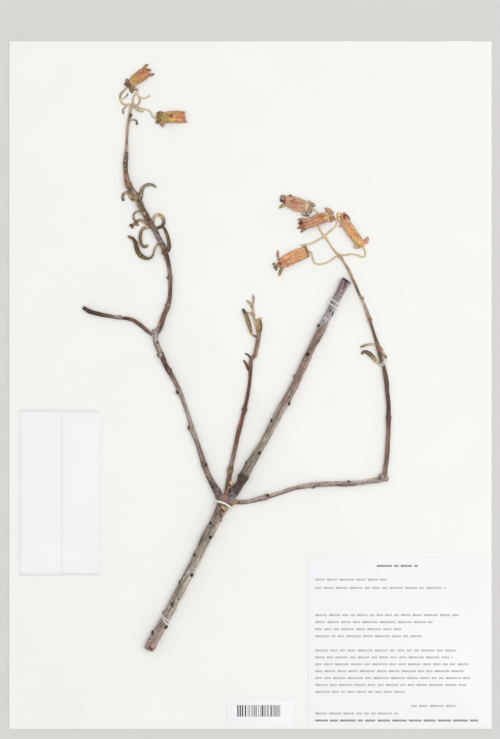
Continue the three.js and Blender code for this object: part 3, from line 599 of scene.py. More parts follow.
def straight_bar(length, step, sides, capped=True):
    """A round bar of radius 1 along X, with a ring of faces for every step."""
    bm = bmesh.new()
    upright = Matrix.Translation((length / 2, 0, 0)) @ Matrix.Rotation(math.pi / 2, 4, "Y")
    bmesh.ops.create_cone(bm, cap_ends=capped, cap_tris=False, segments=sides, radius1=1, radius2=1,
                          depth=length, matrix=upright)
    along = [e for e in bm.edges if abs(e.verts[0].co.x - e.verts[1].co.x) > length / 2]
    bmesh.ops.subdivide_edges(bm, edges=along, cuts=max(1, round(length / step)),
                              use_grid_fill=True)
    return bm


def new_layers(bm):
    """Adds the two attributes that the plant materials read."""
    grain = bm.verts.layers.float_vector.new("grain")
    tone = bm.verts.layers.float_color.new("tone")
    return grain, tone


def old_layers(bm):
    """The same two attributes of a mesh that has them."""
    return bm.verts.layers.float_vector["grain"], bm.verts.layers.float_color["tone"]


def bend(vert, layers, place, heading, distance, across, up, colour):
    """Moves one point beside its place on the route, and keeps its grain and its paint."""
    vert[layers[0]] = (distance, across, up)
    vert[layers[1]] = (*colour, 1.0)
    spot = place.to_2d() + Vector((-heading.y, heading.x)) * across
    vert.co = (spot.x, spot.y, PAPER_TOP + place.z + up)


def bend_round(vert, layers, route, distance, height, share, skin, seed, lift=0.0):
    """Bends one point of a bar. The skin gives relief in millimetres and a colour."""
    _, y, z = vert.co
    place, heading, width = route.at(distance)
    relief, colour = skin(distance, y, z, width, seed)
    swell = 1 + 2 * relief / width
    tall = height if height else width * share
    up = max(0.0, tall / (1 + FLATTENING) * (FLATTENING + z * swell)) + lift
    bend(vert, layers, place, heading, distance, y * swell * width / 2, up, colour)


def lay_bar(points, share, height, sides, step, skin, seed):
    """A bar along a route, with one height or with a share of its width as height."""
    route = Route(points)
    bm = straight_bar(route.length, step, sides)
    layers = new_layers(bm)
    for vert in bm.verts:
        bend_round(vert, layers, route, vert.co.x, height, share, skin, seed)
    return bm


def dome(x, y, width, height, colour, seed, relief_mm=0.12):
    """A low lumpy dome on the paper: a knuckle of wood, a scar's rim or a pollen sac."""
    bm = bmesh.new()
    bmesh.ops.create_uvsphere(bm, u_segments=DOME_SIDES, v_segments=DOME_RINGS, radius=1)
    grain, tone = new_layers(bm)
    for vert in bm.verts:
        lump = noise.noise(vert.co * DOME_LUMPS + Vector((seed, 0, 0)))
        swell = 1 + 2 * relief_mm * lump / width
        flat = vert.co.to_2d() * swell * width / 2
        up = max(0.0, height / (1 + FLATTENING) * (FLATTENING + vert.co.z * swell))
        vert[grain] = (flat.x, flat.y, up)
        vert[tone] = (*(light_of(colour) * (1 + DOME_MOTTLE * lump)), 1.0)
        vert.co = (x + flat.x, y + flat.y, PAPER_TOP + up)
    return bm


def join(parts, painted=True):
    """Puts several meshes into one, side by side."""
    whole = bmesh.new()
    if painted:
        new_layers(whole)
    for bm in parts:
        mesh = to_mesh("part", bm)
        whole.from_mesh(mesh)
        bpy.data.meshes.remove(mesh)
    return whole


def fuse(parts):
    """Joins closed meshes into one body, as the plant's parts grew together."""
    painted = KDTree(sum(len(bm.verts) for bm in parts))
    paint = []
    for bm in parts:
        grain, tone = old_layers(bm)
        for vert in bm.verts:
            painted.insert(vert.co, len(paint))
            paint.append((Vector(vert[grain]), Vector(vert[tone])))
    painted.balance()
    first = show("fused_body", to_mesh("fused_body", parts[0]))
    others = bpy.data.collections.new("fused_parts")
    bpy.context.scene.collection.children.link(others)
    for bm in parts[1:]:
        others.objects.link(bpy.data.objects.new("fused_part", to_mesh("fused_part", bm)))
    union = first.modifiers.new("union", "BOOLEAN")
    union.operation = "UNION"
    union.solver = "MANIFOLD"
    union.operand_type = "COLLECTION"
    union.collection = others
    shown = first.evaluated_get(bpy.context.evaluated_depsgraph_get())
    whole = bmesh.new()
    whole.from_mesh(shown.data)
    for part in list(others.objects) + [first]:
        bpy.data.objects.remove(part)
    bpy.data.collections.remove(others)
    grain, tone = old_layers(whole)
    for vert in whole.verts:
        _, index, gap = painted.find(vert.co)
        if gap > SEAM_GAP:
            vert[grain], vert[tone] = paint[index]
    return whole


# %% [markdown]
# # Dried plant matter
# Bark, leaves and petals are the same stuff to the eye: matt, fibrous along the stem, and never one
# colour. Their paint is the `tone` attribute. Noise that is stretched along `grain` gives the fibres and
# the fine relief that the mesh is too coarse for, and a rounder noise gives specks.

# %% Plant materials
SPECK_MM = 0.9
# How much each kind of dried tissue turns a tone's red, green and blue light
STALK_WARMTH = (1.08, 1.03, 0.97)
LEAF_WARMTH = (1.06, 0.98, 0.91)
PETAL_WARMTH = (1.14, 1.09, 0.99)


def plant_material(name, along_mm, across_mm, contrast, specks, relief_mm, roughness,
                   warmth=(1.0, 1.0, 1.0), sheen=0.0):
    """Dried plant skin: painted tones, warmed, and broken by fibres that run along the piece."""
    material, tree, shader = start_material(name, roughness, sheen)
    tone = add(tree, "Attribute", attribute_name="tone").outputs["Color"]
    grain = add(tree, "Attribute", attribute_name="grain").outputs["Vector"]
    scale = (1 / along_mm, 1 / across_mm, 1 / across_mm)
    stretched = add(tree, "Mapping", {"Vector": grain, "Scale": scale}).outputs["Vector"]
    fibres = add(tree, "TexNoise", {"Vector": stretched, "Scale": 1.0, "Detail": 5.0,
                                    "Roughness": 0.6}).outputs["Fac"]
    flecks = add(tree, "TexNoise", {"Vector": grain, "Scale": 1 / SPECK_MM,
                                    "Detail": 1.0}).outputs["Fac"]
    shade = spread_out(tree, fibres, WIDE, 1 - contrast, 1 + contrast)
    fleck = spread_out(tree, flecks, NARROW, 1 - specks, 1 + specks)
    both = add(tree, "Math", {0: shade, 1: fleck}, operation="MULTIPLY").outputs[0]
    colour = multiply(tree, multiply(tree, tone, (*warmth, 1.0)), both)
    link_looks(tree, shader, colour, fibres, strength=0.8, relief_mm=relief_mm)
    return material


bark_material = plant_material("weathered_bark", along_mm=8.0, across_mm=0.8, contrast=0.42,
                               specks=0.24, relief_mm=0.15, roughness=0.85)
stalk_material = plant_material("dry_flower_stalk", along_mm=2.0, across_mm=0.35, contrast=0.15,
                                specks=0.08, relief_mm=0.06, roughness=0.8, warmth=STALK_WARMTH)
leaf_material = plant_material("shrivelled_leaf", along_mm=2.2, across_mm=0.6, contrast=0.34,
                               specks=0.22, relief_mm=0.1, roughness=0.7, warmth=LEAF_WARMTH)
calyx_material = plant_material("papery_sepal", along_mm=2.0, across_mm=0.6, contrast=0.34,
                                specks=0.24, relief_mm=0.08, roughness=0.8, warmth=PETAL_WARMTH)
petal_material = plant_material("papery_petal", along_mm=3.5, across_mm=0.55, contrast=0.3,
                                specks=0.18, relief_mm=0.06, roughness=0.75, warmth=PETAL_WARMTH,
                                sheen=0.15)
print("plant materials ready")

# %% [markdown]
# # The woody branch
# The whole branch grew as one piece: a grey main stem, its fork, and browner side shoots. Each stretch
# is laid as a bar with a furrowed skin, then all of them and the knuckles at the joints are fused.
# The paint is mixed from a short list of named bark tones, placed along each stretch.

# %% Bark tones and their places
ASH = "#9C9186"
WARM_ASH = "#96867D"
OLIVE_ASH = "#857C70"
SILVER = "#A79F95"
MAUVE_ASH = "#ADA6A7"
MAUVE_BROWN = "#907B72"
CHAR = "#54483E"
PINK_ASH = "#A39088"
ROSE_BROWN = "#82665B"
RED_BROWN = "#734F41"
DARK_RED = "#694C45"
UMBER = "#6C5443"
LUMPY_BROWN = "#8A7158"
PALE_TAN = "#B59F89"
HONEY = "#BCA283"
SPOT = "#2E2620"

# Each stretch of wood: how much lighter its left and right side are painted, as painted light and shade,
# its height as a share of its width, its number of sides, its points [x, y, width] and its tones [x, y,
# tone]
WOOD = {
    "main_stem_lower": ((-0.02, 0.34), 0.82, 44, [
        [-61.8, -161.2, 6], [-60.6, -158.6, 6.5], [-59.1, -155.7, 6.6], [-54.8, -148.1, 6.2],
        [-51.8, -142.6, 5.5], [-48.3, -135.8, 6], [-45.5, -130.1, 5.7], [-43.9, -127.4, 6],
        [-42.8, -125.2, 5.8], [-40.3, -120.1, 5.7], [-37.6, -115.1, 5.9], [-34.5, -109.1, 6],
        [-32.1, -104.1, 6.1], [-29.7, -98.9, 5.6], [-27.4, -94, 6.6], [-24.6, -89, 6.6],
        [-22.2, -84.5, 6.2], [-19.8, -80, 6.6], [-17.2, -74.5, 7.2], [-15, -70, 7.4],
    ], [
        [-62, -162, WARM_ASH], [-60.5, -158.4, MAUVE_BROWN], [-59, -155, WARM_ASH], [-50, -138, ASH],
        [-43, -125, ASH], [-38, -115, SILVER], [-31, -101, ASH], [-27, -93, OLIVE_ASH], [-22, -85, ASH],
        [-18, -77, MAUVE_BROWN], [-16, -71, MAUVE_BROWN],
    ]),
    "main_stem_upper": ((0.08, 0.3), 0.82, 40, [
        [-15.6, -72, 6.4], [-12.2, -68.3, 5.4], [-9.2, -65, 5], [-6.3, -60, 5.2], [-4.1, -56, 6.2],
        [-2, -51.9, 5.8], [0.1, -48, 5.6], [2.5, -44, 5.2], [4.9, -40, 4.8], [7.6, -35.6, 4.4],
        [10.4, -30.6, 4.6], [12.8, -26, 5], [15.2, -21.5, 5.2], [18, -16, 5], [20.3, -12, 5.2],
        [22.7, -8.1, 5.1], [24.8, -4.1, 4.9], [27.2, 0.4, 4.9], [29.4, 5.2, 4.6], [31.5, 9.8, 4.7],
        [33.8, 14.9, 4.9], [36.3, 20.3, 4.3], [38.8, 25.4, 4.5], [41.3, 29.9, 5.1], [43.7, 34.9, 5.4],
        [46.1, 39.8, 5.1], [48.7, 44.9, 4.8], [51.2, 49.9, 4.8], [53.8, 54.9, 5], [56.3, 59.9, 5.2],
        [57.4, 61.9, 5.7], [58.8, 64, 6.3],
    ], [
        [-15, -71, MAUVE_BROWN], [-11.5, -67.5, "#786C6C"], [-9, -64.5, "#564B48"], [-6.5, -60.5, CHAR],
        [-4, -55.8, CHAR], [-2.4, -53, OLIVE_ASH], [3, -43, OLIVE_ASH], [14, -24, ASH],
        [20, -12.5, WARM_ASH], [27, 0.5, MAUVE_BROWN], [30, 8, MAUVE_BROWN], [35, 18, MAUVE_BROWN],
        [40, 28, MAUVE_BROWN], [43.6, 35.5, WARM_ASH], [45.5, 39.5, MAUVE_ASH], [51, 50, MAUVE_ASH],
        [54, 56, "#978A8A"], [57, 61, "#84716F"], [58.6, 64, "#8A7A74"],
    ]),
    "left_branch": ((0, 0), 0.85, 28, [
        [-15.6, -72.5, 5.4], [-18.7, -68.3, 4.7], [-20.7, -63.9, 4.6], [-23.6, -59.1, 3.8], [-26, -54, 3.3],
        [-28.2, -48.5, 3.7], [-29.2, -45.1, 3.4], [-31.1, -39, 2.8], [-33.6, -32, 3], [-35.8, -25.9, 3.7],
        [-37, -21.4, 2.5], [-39.1, -15, 2.3], [-41.2, -9, 2.4], [-43.2, -3.9, 3.1], [-45, 0.1, 2.7],
        [-47.3, 4.6, 2.9], [-50, 9, 3], [-52.4, 14, 3], [-54.3, 18.6, 3.6], [-56, 22, 3.2],
        [-57.3, 25.5, 3.2], [-57.8, 29, 3.3], [-57.5, 32.5, 3.4],
    ], [
        [-16, -72, MAUVE_BROWN], [-19, -68, "#7A6C64"], [-23, -60, "#7C6A66"], [-26, -54, MAUVE_BROWN],
        [-28.2, -48.5, ROSE_BROWN], [-31, -39, MAUVE_BROWN], [-34, -31, ASH], [-38, -18, SILVER],
        [-42, -8, WARM_ASH], [-46, 2, MAUVE_BROWN], [-50, 9, DARK_RED], [-53, 15, DARK_RED],
        [-55, 19.5, SILVER], [-57, 25, ASH], [-57.7, 32, SILVER],
    ]),
    "left_twig": ((-0.2, -0.05), 0.85, 22, [
        [-57.8, 29.6, 2.4], [-60.3, 31.1, 2.1], [-62.8, 32.8, 2.2], [-65.7, 35.6, 2.3], [-68.9, 38, 2.4],
        [-72.1, 39.8, 2.3], [-76, 40.7, 2.1], [-80, 41, 2], [-85, 41.9, 2.2], [-90, 42.8, 2.6],
        [-95, 44, 2.7], [-98.5, 45.1, 2.7], [-101.9, 47.3, 2.2],
    ], [
        [-58, 30, SILVER], [-60.4, 31, WARM_ASH], [-63, 32.5, RED_BROWN], [-66, 36, ROSE_BROWN],
        [-70, 38.6, RED_BROWN], [-73, 40.3, ROSE_BROWN], [-76, 41.1, DARK_RED], [-79.5, 41.3, PINK_ASH],
        [-86, 42, ROSE_BROWN], [-91, 43.2, DARK_RED], [-96, 44.5, CHAR], [-101, 46.8, CHAR],
    ]),
    "left_shoot": ((0.28, -0.08), 0.85, 26, [
        [-57.4, 31, 3.2], [-55, 35.3, 3.6], [-53.6, 39.9, 3.2], [-51.9, 44.4, 3], [-50.2, 48.5, 3],
        [-49.2, 52.9, 2.5], [-48.8, 59, 2.3], [-48.9, 65.5, 2.8], [-49.3, 70, 2.5], [-50.1, 75, 2.6],
        [-51.6, 80, 3.3], [-52.9, 84, 3.5], [-55.2, 88.5, 3.1], [-57.6, 93.1, 3.1], [-60.3, 98, 3.4],
        [-63, 102.3, 3.8], [-65.5, 106.6, 3.7], [-67.6, 111.1, 4], [-70, 115.6, 3.7], [-72.6, 119.1, 3.8],
        [-74.6, 122.5, 4], [-75.4, 126, 3.6], [-76, 130, 2.6], [-76.1, 135, 2.8], [-75.7, 140, 2.8],
        [-75.5, 144.5, 2.1], [-75.3, 149, 1.6], [-75.1, 154, 1.6], [-74.7, 158, 1.9], [-74.1, 161.5, 2],
        [-73.4, 166, 1.7], [-72.6, 170.2, 1.6],
    ], [
        [-57.4, 31, SILVER], [-56, 34, MAUVE_BROWN], [-54, 39, ROSE_BROWN], [-51, 47.5, ROSE_BROWN],
        [-49, 58, DARK_RED], [-49.5, 70, MAUVE_BROWN], [-50.3, 75, UMBER], [-51.8, 80.5, UMBER],
        [-53, 84, ROSE_BROWN], [-55, 88, "#766664"], [-58, 93.5, "#7A6660"], [-60.5, 98, ROSE_BROWN],
        [-63.5, 103, UMBER], [-66, 107, "#8A7460"], [-68, 111.5, "#8F7A66"], [-70.2, 115.5, "#95806A"],
        [-72.8, 119, "#7A6350"], [-74.5, 122, LUMPY_BROWN], [-75.6, 126, "#A0826C"], [-76.1, 130, UMBER],
        [-76.2, 136, UMBER], [-76, 140.5, "#9C8878"], [-75.6, 144, PALE_TAN], [-75.4, 149, "#A89886"],
        [-75.2, 154, PINK_ASH], [-74.7, 158.5, "#BCAC9A"], [-74.2, 162.5, "#A08878"],
        [-73.5, 166, "#B8AD98"], [-72.8, 169, HONEY],
    ]),
    "centre_shoot": ((0.38, -0.04), 0.85, 24, [
        [-15.1, -71, 3.6], [-14.4, -66, 3.4], [-13.6, -60.5, 3.2], [-12.9, -56, 3], [-12.3, -52, 3.7],
        [-11.5, -48, 2.6], [-10.5, -44, 2.9], [-9.7, -40, 2.7], [-8.6, -35.5, 2.6], [-7.5, -30, 2.8],
        [-6.2, -25, 2.8], [-4.9, -20, 2.5], [-3.6, -15, 2.9], [-2.7, -11, 2.1], [-1.7, -6.5, 2.3],
        [-0.8, -1, 2.1], [-0.2, 4, 2], [0.1, 9, 2.4], [0.3, 12.8, 2.5], [0.8, 15.8, 2.4], [2.7, 18.1, 2.9],
        [3.5, 21.5, 2.5], [4.2, 25, 2.6], [5, 29, 2.6], [5.5, 32.4, 2.3],
    ], [
        [-15, -70, PINK_ASH], [-14.4, -66, "#957868"], [-13.6, -60.5, "#735B49"], [-13, -56, "#8A6C5C"],
        [-12.5, -53, LUMPY_BROWN], [-11, -46, MAUVE_BROWN], [-9.5, -39, ROSE_BROWN], [-8, -32, RED_BROWN],
        [-5, -20, RED_BROWN], [-2.6, -10, RED_BROWN], [-0.2, 4, RED_BROWN], [0.2, 12, RED_BROWN],
        [1, 16, "#957B66"], [3, 19.5, "#9C806E"], [4.2, 26, "#957568"], [5, 31, "#9C8268"],
    ]),
    "right_branch": ((0.34, -0.14), 0.85, 26, [
        [-14, -70.6, 4], [-9, -71.3, 3.1], [-4.5, -71.4, 2.6], [0, -70.8, 2.5], [4, -69.7, 3.1],
        [8.6, -68.7, 3.5], [13, -67.4, 2.6], [18.1, -65.9, 2.4], [23, -64.1, 2.6], [28, -62.7, 2.4],
        [33, -61.7, 3], [38, -61, 3.1], [43, -60.5, 3.3], [49, -60.2, 3], [55, -60.2, 3.3],
        [60, -60.2, 3.4], [66, -59.6, 3.2], [72, -58.7, 3.3], [77.5, -57.9, 3.6], [81.9, -56.7, 3.8],
    ], [
        [-14, -70.6, MAUVE_BROWN], [-8.5, -71.3, LUMPY_BROWN], [-3, -71.2, PINK_ASH], [30, -62, PINK_ASH],
        [58, -60, PINK_ASH], [66, -59.6, "#B2A49F"], [81, -57, "#A89890"],
    ]),
    "right_shoot": ((0.25, 0.1), 0.85, 24, [
        [80.9, -58, 3.4], [82, -54, 3], [82.4, -50, 2.8], [83.2, -45, 2.8], [83.6, -39, 2.8],
        [83.9, -33, 2.6], [84.2, -27, 2.6], [84.2, -20, 3], [84.3, -15, 2.5], [84.1, -10, 2.6],
        [83.4, -4, 2.5], [83.1, 1, 2.8], [82.3, 6, 2.7], [81.4, 11, 2.2], [80, 15, 2.4], [79, 19, 2.6],
        [78.1, 23, 2.8], [76.4, 28, 2], [75.2, 32, 1.7], [73.9, 36, 1.8], [72.7, 40, 2.3], [71.3, 44, 2.2],
        [69.8, 48, 1.9], [68.3, 51.5, 1.9], [66.5, 55.2, 1.6], [64.5, 60, 1.6], [62.4, 65, 1.7],
        [60.1, 70, 1.6], [57.4, 74.4, 1.7], [54.9, 78.2, 1.9],
    ], [
        [81, -58, PINK_ASH], [82, -53, MAUVE_BROWN], [83, -44, ROSE_BROWN], [83.8, -33, ROSE_BROWN],
        [84.2, -20, DARK_RED], [84, -10, DARK_RED], [82.8, 1, DARK_RED], [82, 7, "#66503F"],
        [80, 15, "#7A6356"], [79, 19, "#66503F"], [78.1, 23, "#96786A"], [76.6, 28, "#75604F"],
        [74.2, 36, "#7C6A5C"], [72.8, 40, "#96796A"], [71, 45, "#B2A092"], [68.5, 51.5, "#CBB7A0"],
        [66, 56, "#94806A"], [64.5, 60, "#94806A"], [62, 65.5, "#BCA890"], [59.5, 71, "#A5937C"],
        [57, 75.5, "#CDBDA8"], [54.9, 78, "#CFB493"],
    ]),
}
# Knuckles where shoots join or carried leaves, each [x, y, width, tone]
KNUCKLES = [
    [-16.4, -70.6, 8.2, MAUVE_BROWN], [-13, -71.4, 6, MAUVE_BROWN], [-4.4, -56.2, 6.9, CHAR],
    [-28, -48.5, 4, ROSE_BROWN], [-36.4, -26, 4, WARM_ASH], [-43.8, -4.2, 3.4, OLIVE_ASH],
    [-49.6, 9.1, 3.5, ROSE_BROWN], [-54.9, 18.4, 4, SILVER], [-58, 30.8, 4.4, SILVER],
    [-58.5, 33, 2.8, SILVER], [-79.6, 41.5, 2.6, PINK_ASH], [-50.5, 48.5, 3.3, ROSE_BROWN],
    [-49.3, 65.5, 3.2, ROSE_BROWN], [-51.9, 81.2, 4.5, UMBER], [-69.6, 116, 3.4, UMBER],
    [-74.2, 122, 4.6, LUMPY_BROWN], [-12.3, -52, 4.1, LUMPY_BROWN], [-3.5, -14.9, 3.5, RED_BROWN],
    [10, -68, 3.9, PINK_ASH], [38.2, -61.2, 3.8, PINK_ASH], [60, -59.8, 3.5, WARM_ASH],
    [79.9, -55.4, 3.4, PINK_ASH], [82.6, -57, 3.5, PINK_ASH], [84.2, -20, 3.4, DARK_RED],
    [78.2, 22.4, 3.1, LUMPY_BROWN], [72.8, 40, 2.6, LUMPY_BROWN], [-11.1, -63.4, 3.4, "#6F5C54"],
    [-11.2, -61, 2.8, "#9A8070"],
]
# Rims of old leaf scars on the sides of the main stem, each [x, y, width, tone]
SCAR_RIMS = [
    [-59.3, -150.6, 2.4, UMBER], [-51.7, -147.2, 2.8, UMBER], [-52.4, -138.4, 2.6, OLIVE_ASH],
    [-43.4, -129.5, 2.6, OLIVE_ASH], [-42.4, -119.9, 2.6, OLIVE_ASH], [-36.2, -115.2, 2.6, UMBER],
    [-28.4, -92.4, 2.8, OLIVE_ASH], [-19.6, -83, 2.8, OLIVE_ASH], [-2.2, -47.4, 2.3, UMBER],
    [13.2, -21.6, 2.4, UMBER], [23.2, -11.4, 2.6, UMBER], [27.2, 5.4, 2.4, OLIVE_ASH],
    [41.8, 36, 2.5, UMBER], [-12, -59.6, 2.2, HONEY],
]
# Short dead stubs, each with its points and its tone
STUBS = [
    ([[-0.4, 8.4, 1.6], [-1.8, 11, 1.6], [-2.5, 12.8, 1.4], [-4.1, 15.1, 1]], UMBER),
    ([[0.5, 15.6, 1.4], [-0.9, 18, 1.1], [-3.1, 19.3, 0.9]], UMBER),
    ([[68.6, 51.4, 1.4], [68.6, 53.8, 1.1]], "#94806A"), ([[-73.8, 163, 1.2], [-72.5, 165.2, 1.5]], SPOT),
]
print("stretches of wood:", len(WOOD))

# %% [markdown]
# The bark's skin is one function of the place on the straight bar. Broad lumps come from slow noise,
# furrows from the lines where faster noise crosses zero, and small dark pores from its peaks. Furrows and
# pores are painted darker too, where the skin is sunk. Some stretches have painted light and painted shade
# along their sides.

# %% Furrowed bark
LUMP_MM = 0.22
FURROW_MM = 0.16
FURROW_WIDTH = 0.2
PORE_MM = 0.08
PORE_START = 0.3
PORE_STEEPNESS = 6
FULL_RELIEF_WIDTH = 4
SIDE_LIGHT_START = 0.1
SIDE_LIGHT_FULL = 0.6
# How long and how wide each pattern of the bark is, in millimetres
LUMP_RUN = (3.5, 2.2)
FURROW_RUN = (8.0, 0.9)
STREAK_RUN = (11.0, 1.3)
PORE_RUN = (1.7, 1.0)
# How much each pattern lightens or darkens the paint
STREAK_SHADE = 0.6
LUMP_SHADE = 0.15
FURROW_SHADE = 0.35
PORE_SHADE = 0.25
DARKEST = 0.25
WOOD_STEP = 0.4
KNUCKLE_HEIGHT = 0.95
STUB_SHARE = 0.85
STUB_SIDES = 14
KNUCKLE_SHARE = 0.84
SCAR_HEIGHT = 3.1
STUB_SEEDS = 20
KNUCKLE_SEEDS = 40
SCAR_SEEDS = 80


def stream(distance, y, z, run, seed):
    """Noise from -1 to 1 that runs along a bar."""
    return noise.noise(Vector((distance / run[0] + 10 * seed, y / run[1], z / run[1])))


def bark_skin(tones, sides=(0.0, 0.0)):
    """The skin of one stretch of wood, in its own tones, with painted light and shade on its left and right
    side.
    """
    def skin(distance, y, z, width, seed):
        place = (distance, y * (width / 2), z * (width / 2))
        lumps = stream(*place, LUMP_RUN, seed)
        fine = stream(*place, FURROW_RUN, seed + 1)
        streak = stream(*place, STREAK_RUN, seed + 2)
        fleck = stream(*place, PORE_RUN, seed + 3)
        furrow = max(0.0, 1 - abs(fine) / FURROW_WIDTH) ** 2
        pore = min(1.0, max(0.0, fleck - PORE_START) * PORE_STEEPNESS)
        relief = LUMP_MM * lumps - FURROW_MM * furrow - PORE_MM * pore
        # Painted light and shade: each side of a stretch is lightened by its own share, and darkened where
        # that share is below zero
        painted_side_mask = min(1.0, max(0.0, (abs(y) - SIDE_LIGHT_START) / (SIDE_LIGHT_FULL - SIDE_LIGHT_START)))
        light = painted_side_mask * (sides[0] if y > 0 else sides[1])
        shade = (1 + STREAK_SHADE * streak + LUMP_SHADE * lumps - FURROW_SHADE * furrow
                 - PORE_SHADE * pore + light)
        return relief * min(1.0, width / FULL_RELIEF_WIDTH), tones.at(distance) * max(DARKEST, shade)
    return skin


def lay_wood(name, seed):
    """One stretch of wood as a bar."""
    painted_sides, share, sides, points, tones = WOOD[name]
    route = Route(points)
    stops = sorted((route.nearest(x, y), tone) for x, y, tone in tones)
    return lay_bar(points, share, 0, sides, WOOD_STEP, bark_skin(Tones(stops), painted_sides), seed)


wood_parts = [lay_wood(name, i) for i, name in enumerate(WOOD)]
for i, (points, tone) in enumerate(STUBS):
    stub_skin = bark_skin(Tones([(0, tone)]))
    wood_parts.append(lay_bar(points, STUB_SHARE, 0, STUB_SIDES, WOOD_STEP, stub_skin,
                              STUB_SEEDS + i))
for i, (x, y, width, tone) in enumerate(KNUCKLES):
    height = width * KNUCKLE_HEIGHT * KNUCKLE_SHARE
    wood_parts.append(dome(x, y, width, height, tone, KNUCKLE_SEEDS + i, relief_mm=0.3))
for i, (x, y, width, tone) in enumerate(SCAR_RIMS):
    wood_parts.append(dome(x, y, width, SCAR_HEIGHT, tone, SCAR_SEEDS + i, relief_mm=0.25))
wood_bm = fuse(wood_parts)
print("faces of the fused wood:", len(wood_bm.faces))

# %% [markdown]
# Last come the marks that sit at one spot: the dark pits of old leaf scars, torn bark with pale wood
# under it, and the split at the cut end. Each is a soft round stamp, pressed in or raised along the
# surface, and painted in the same stroke.

# %% Scars, pits and torn bark
# In radii: how far a stamp is looked for, where it ends, how wide its fading rim is and how ragged
STAMP_REACH = 1.4
STAMP_END = 1.35
STAMP_FADE = 0.6
RAGGEDNESS = 0.25
RAGGED_RATE = 1.9
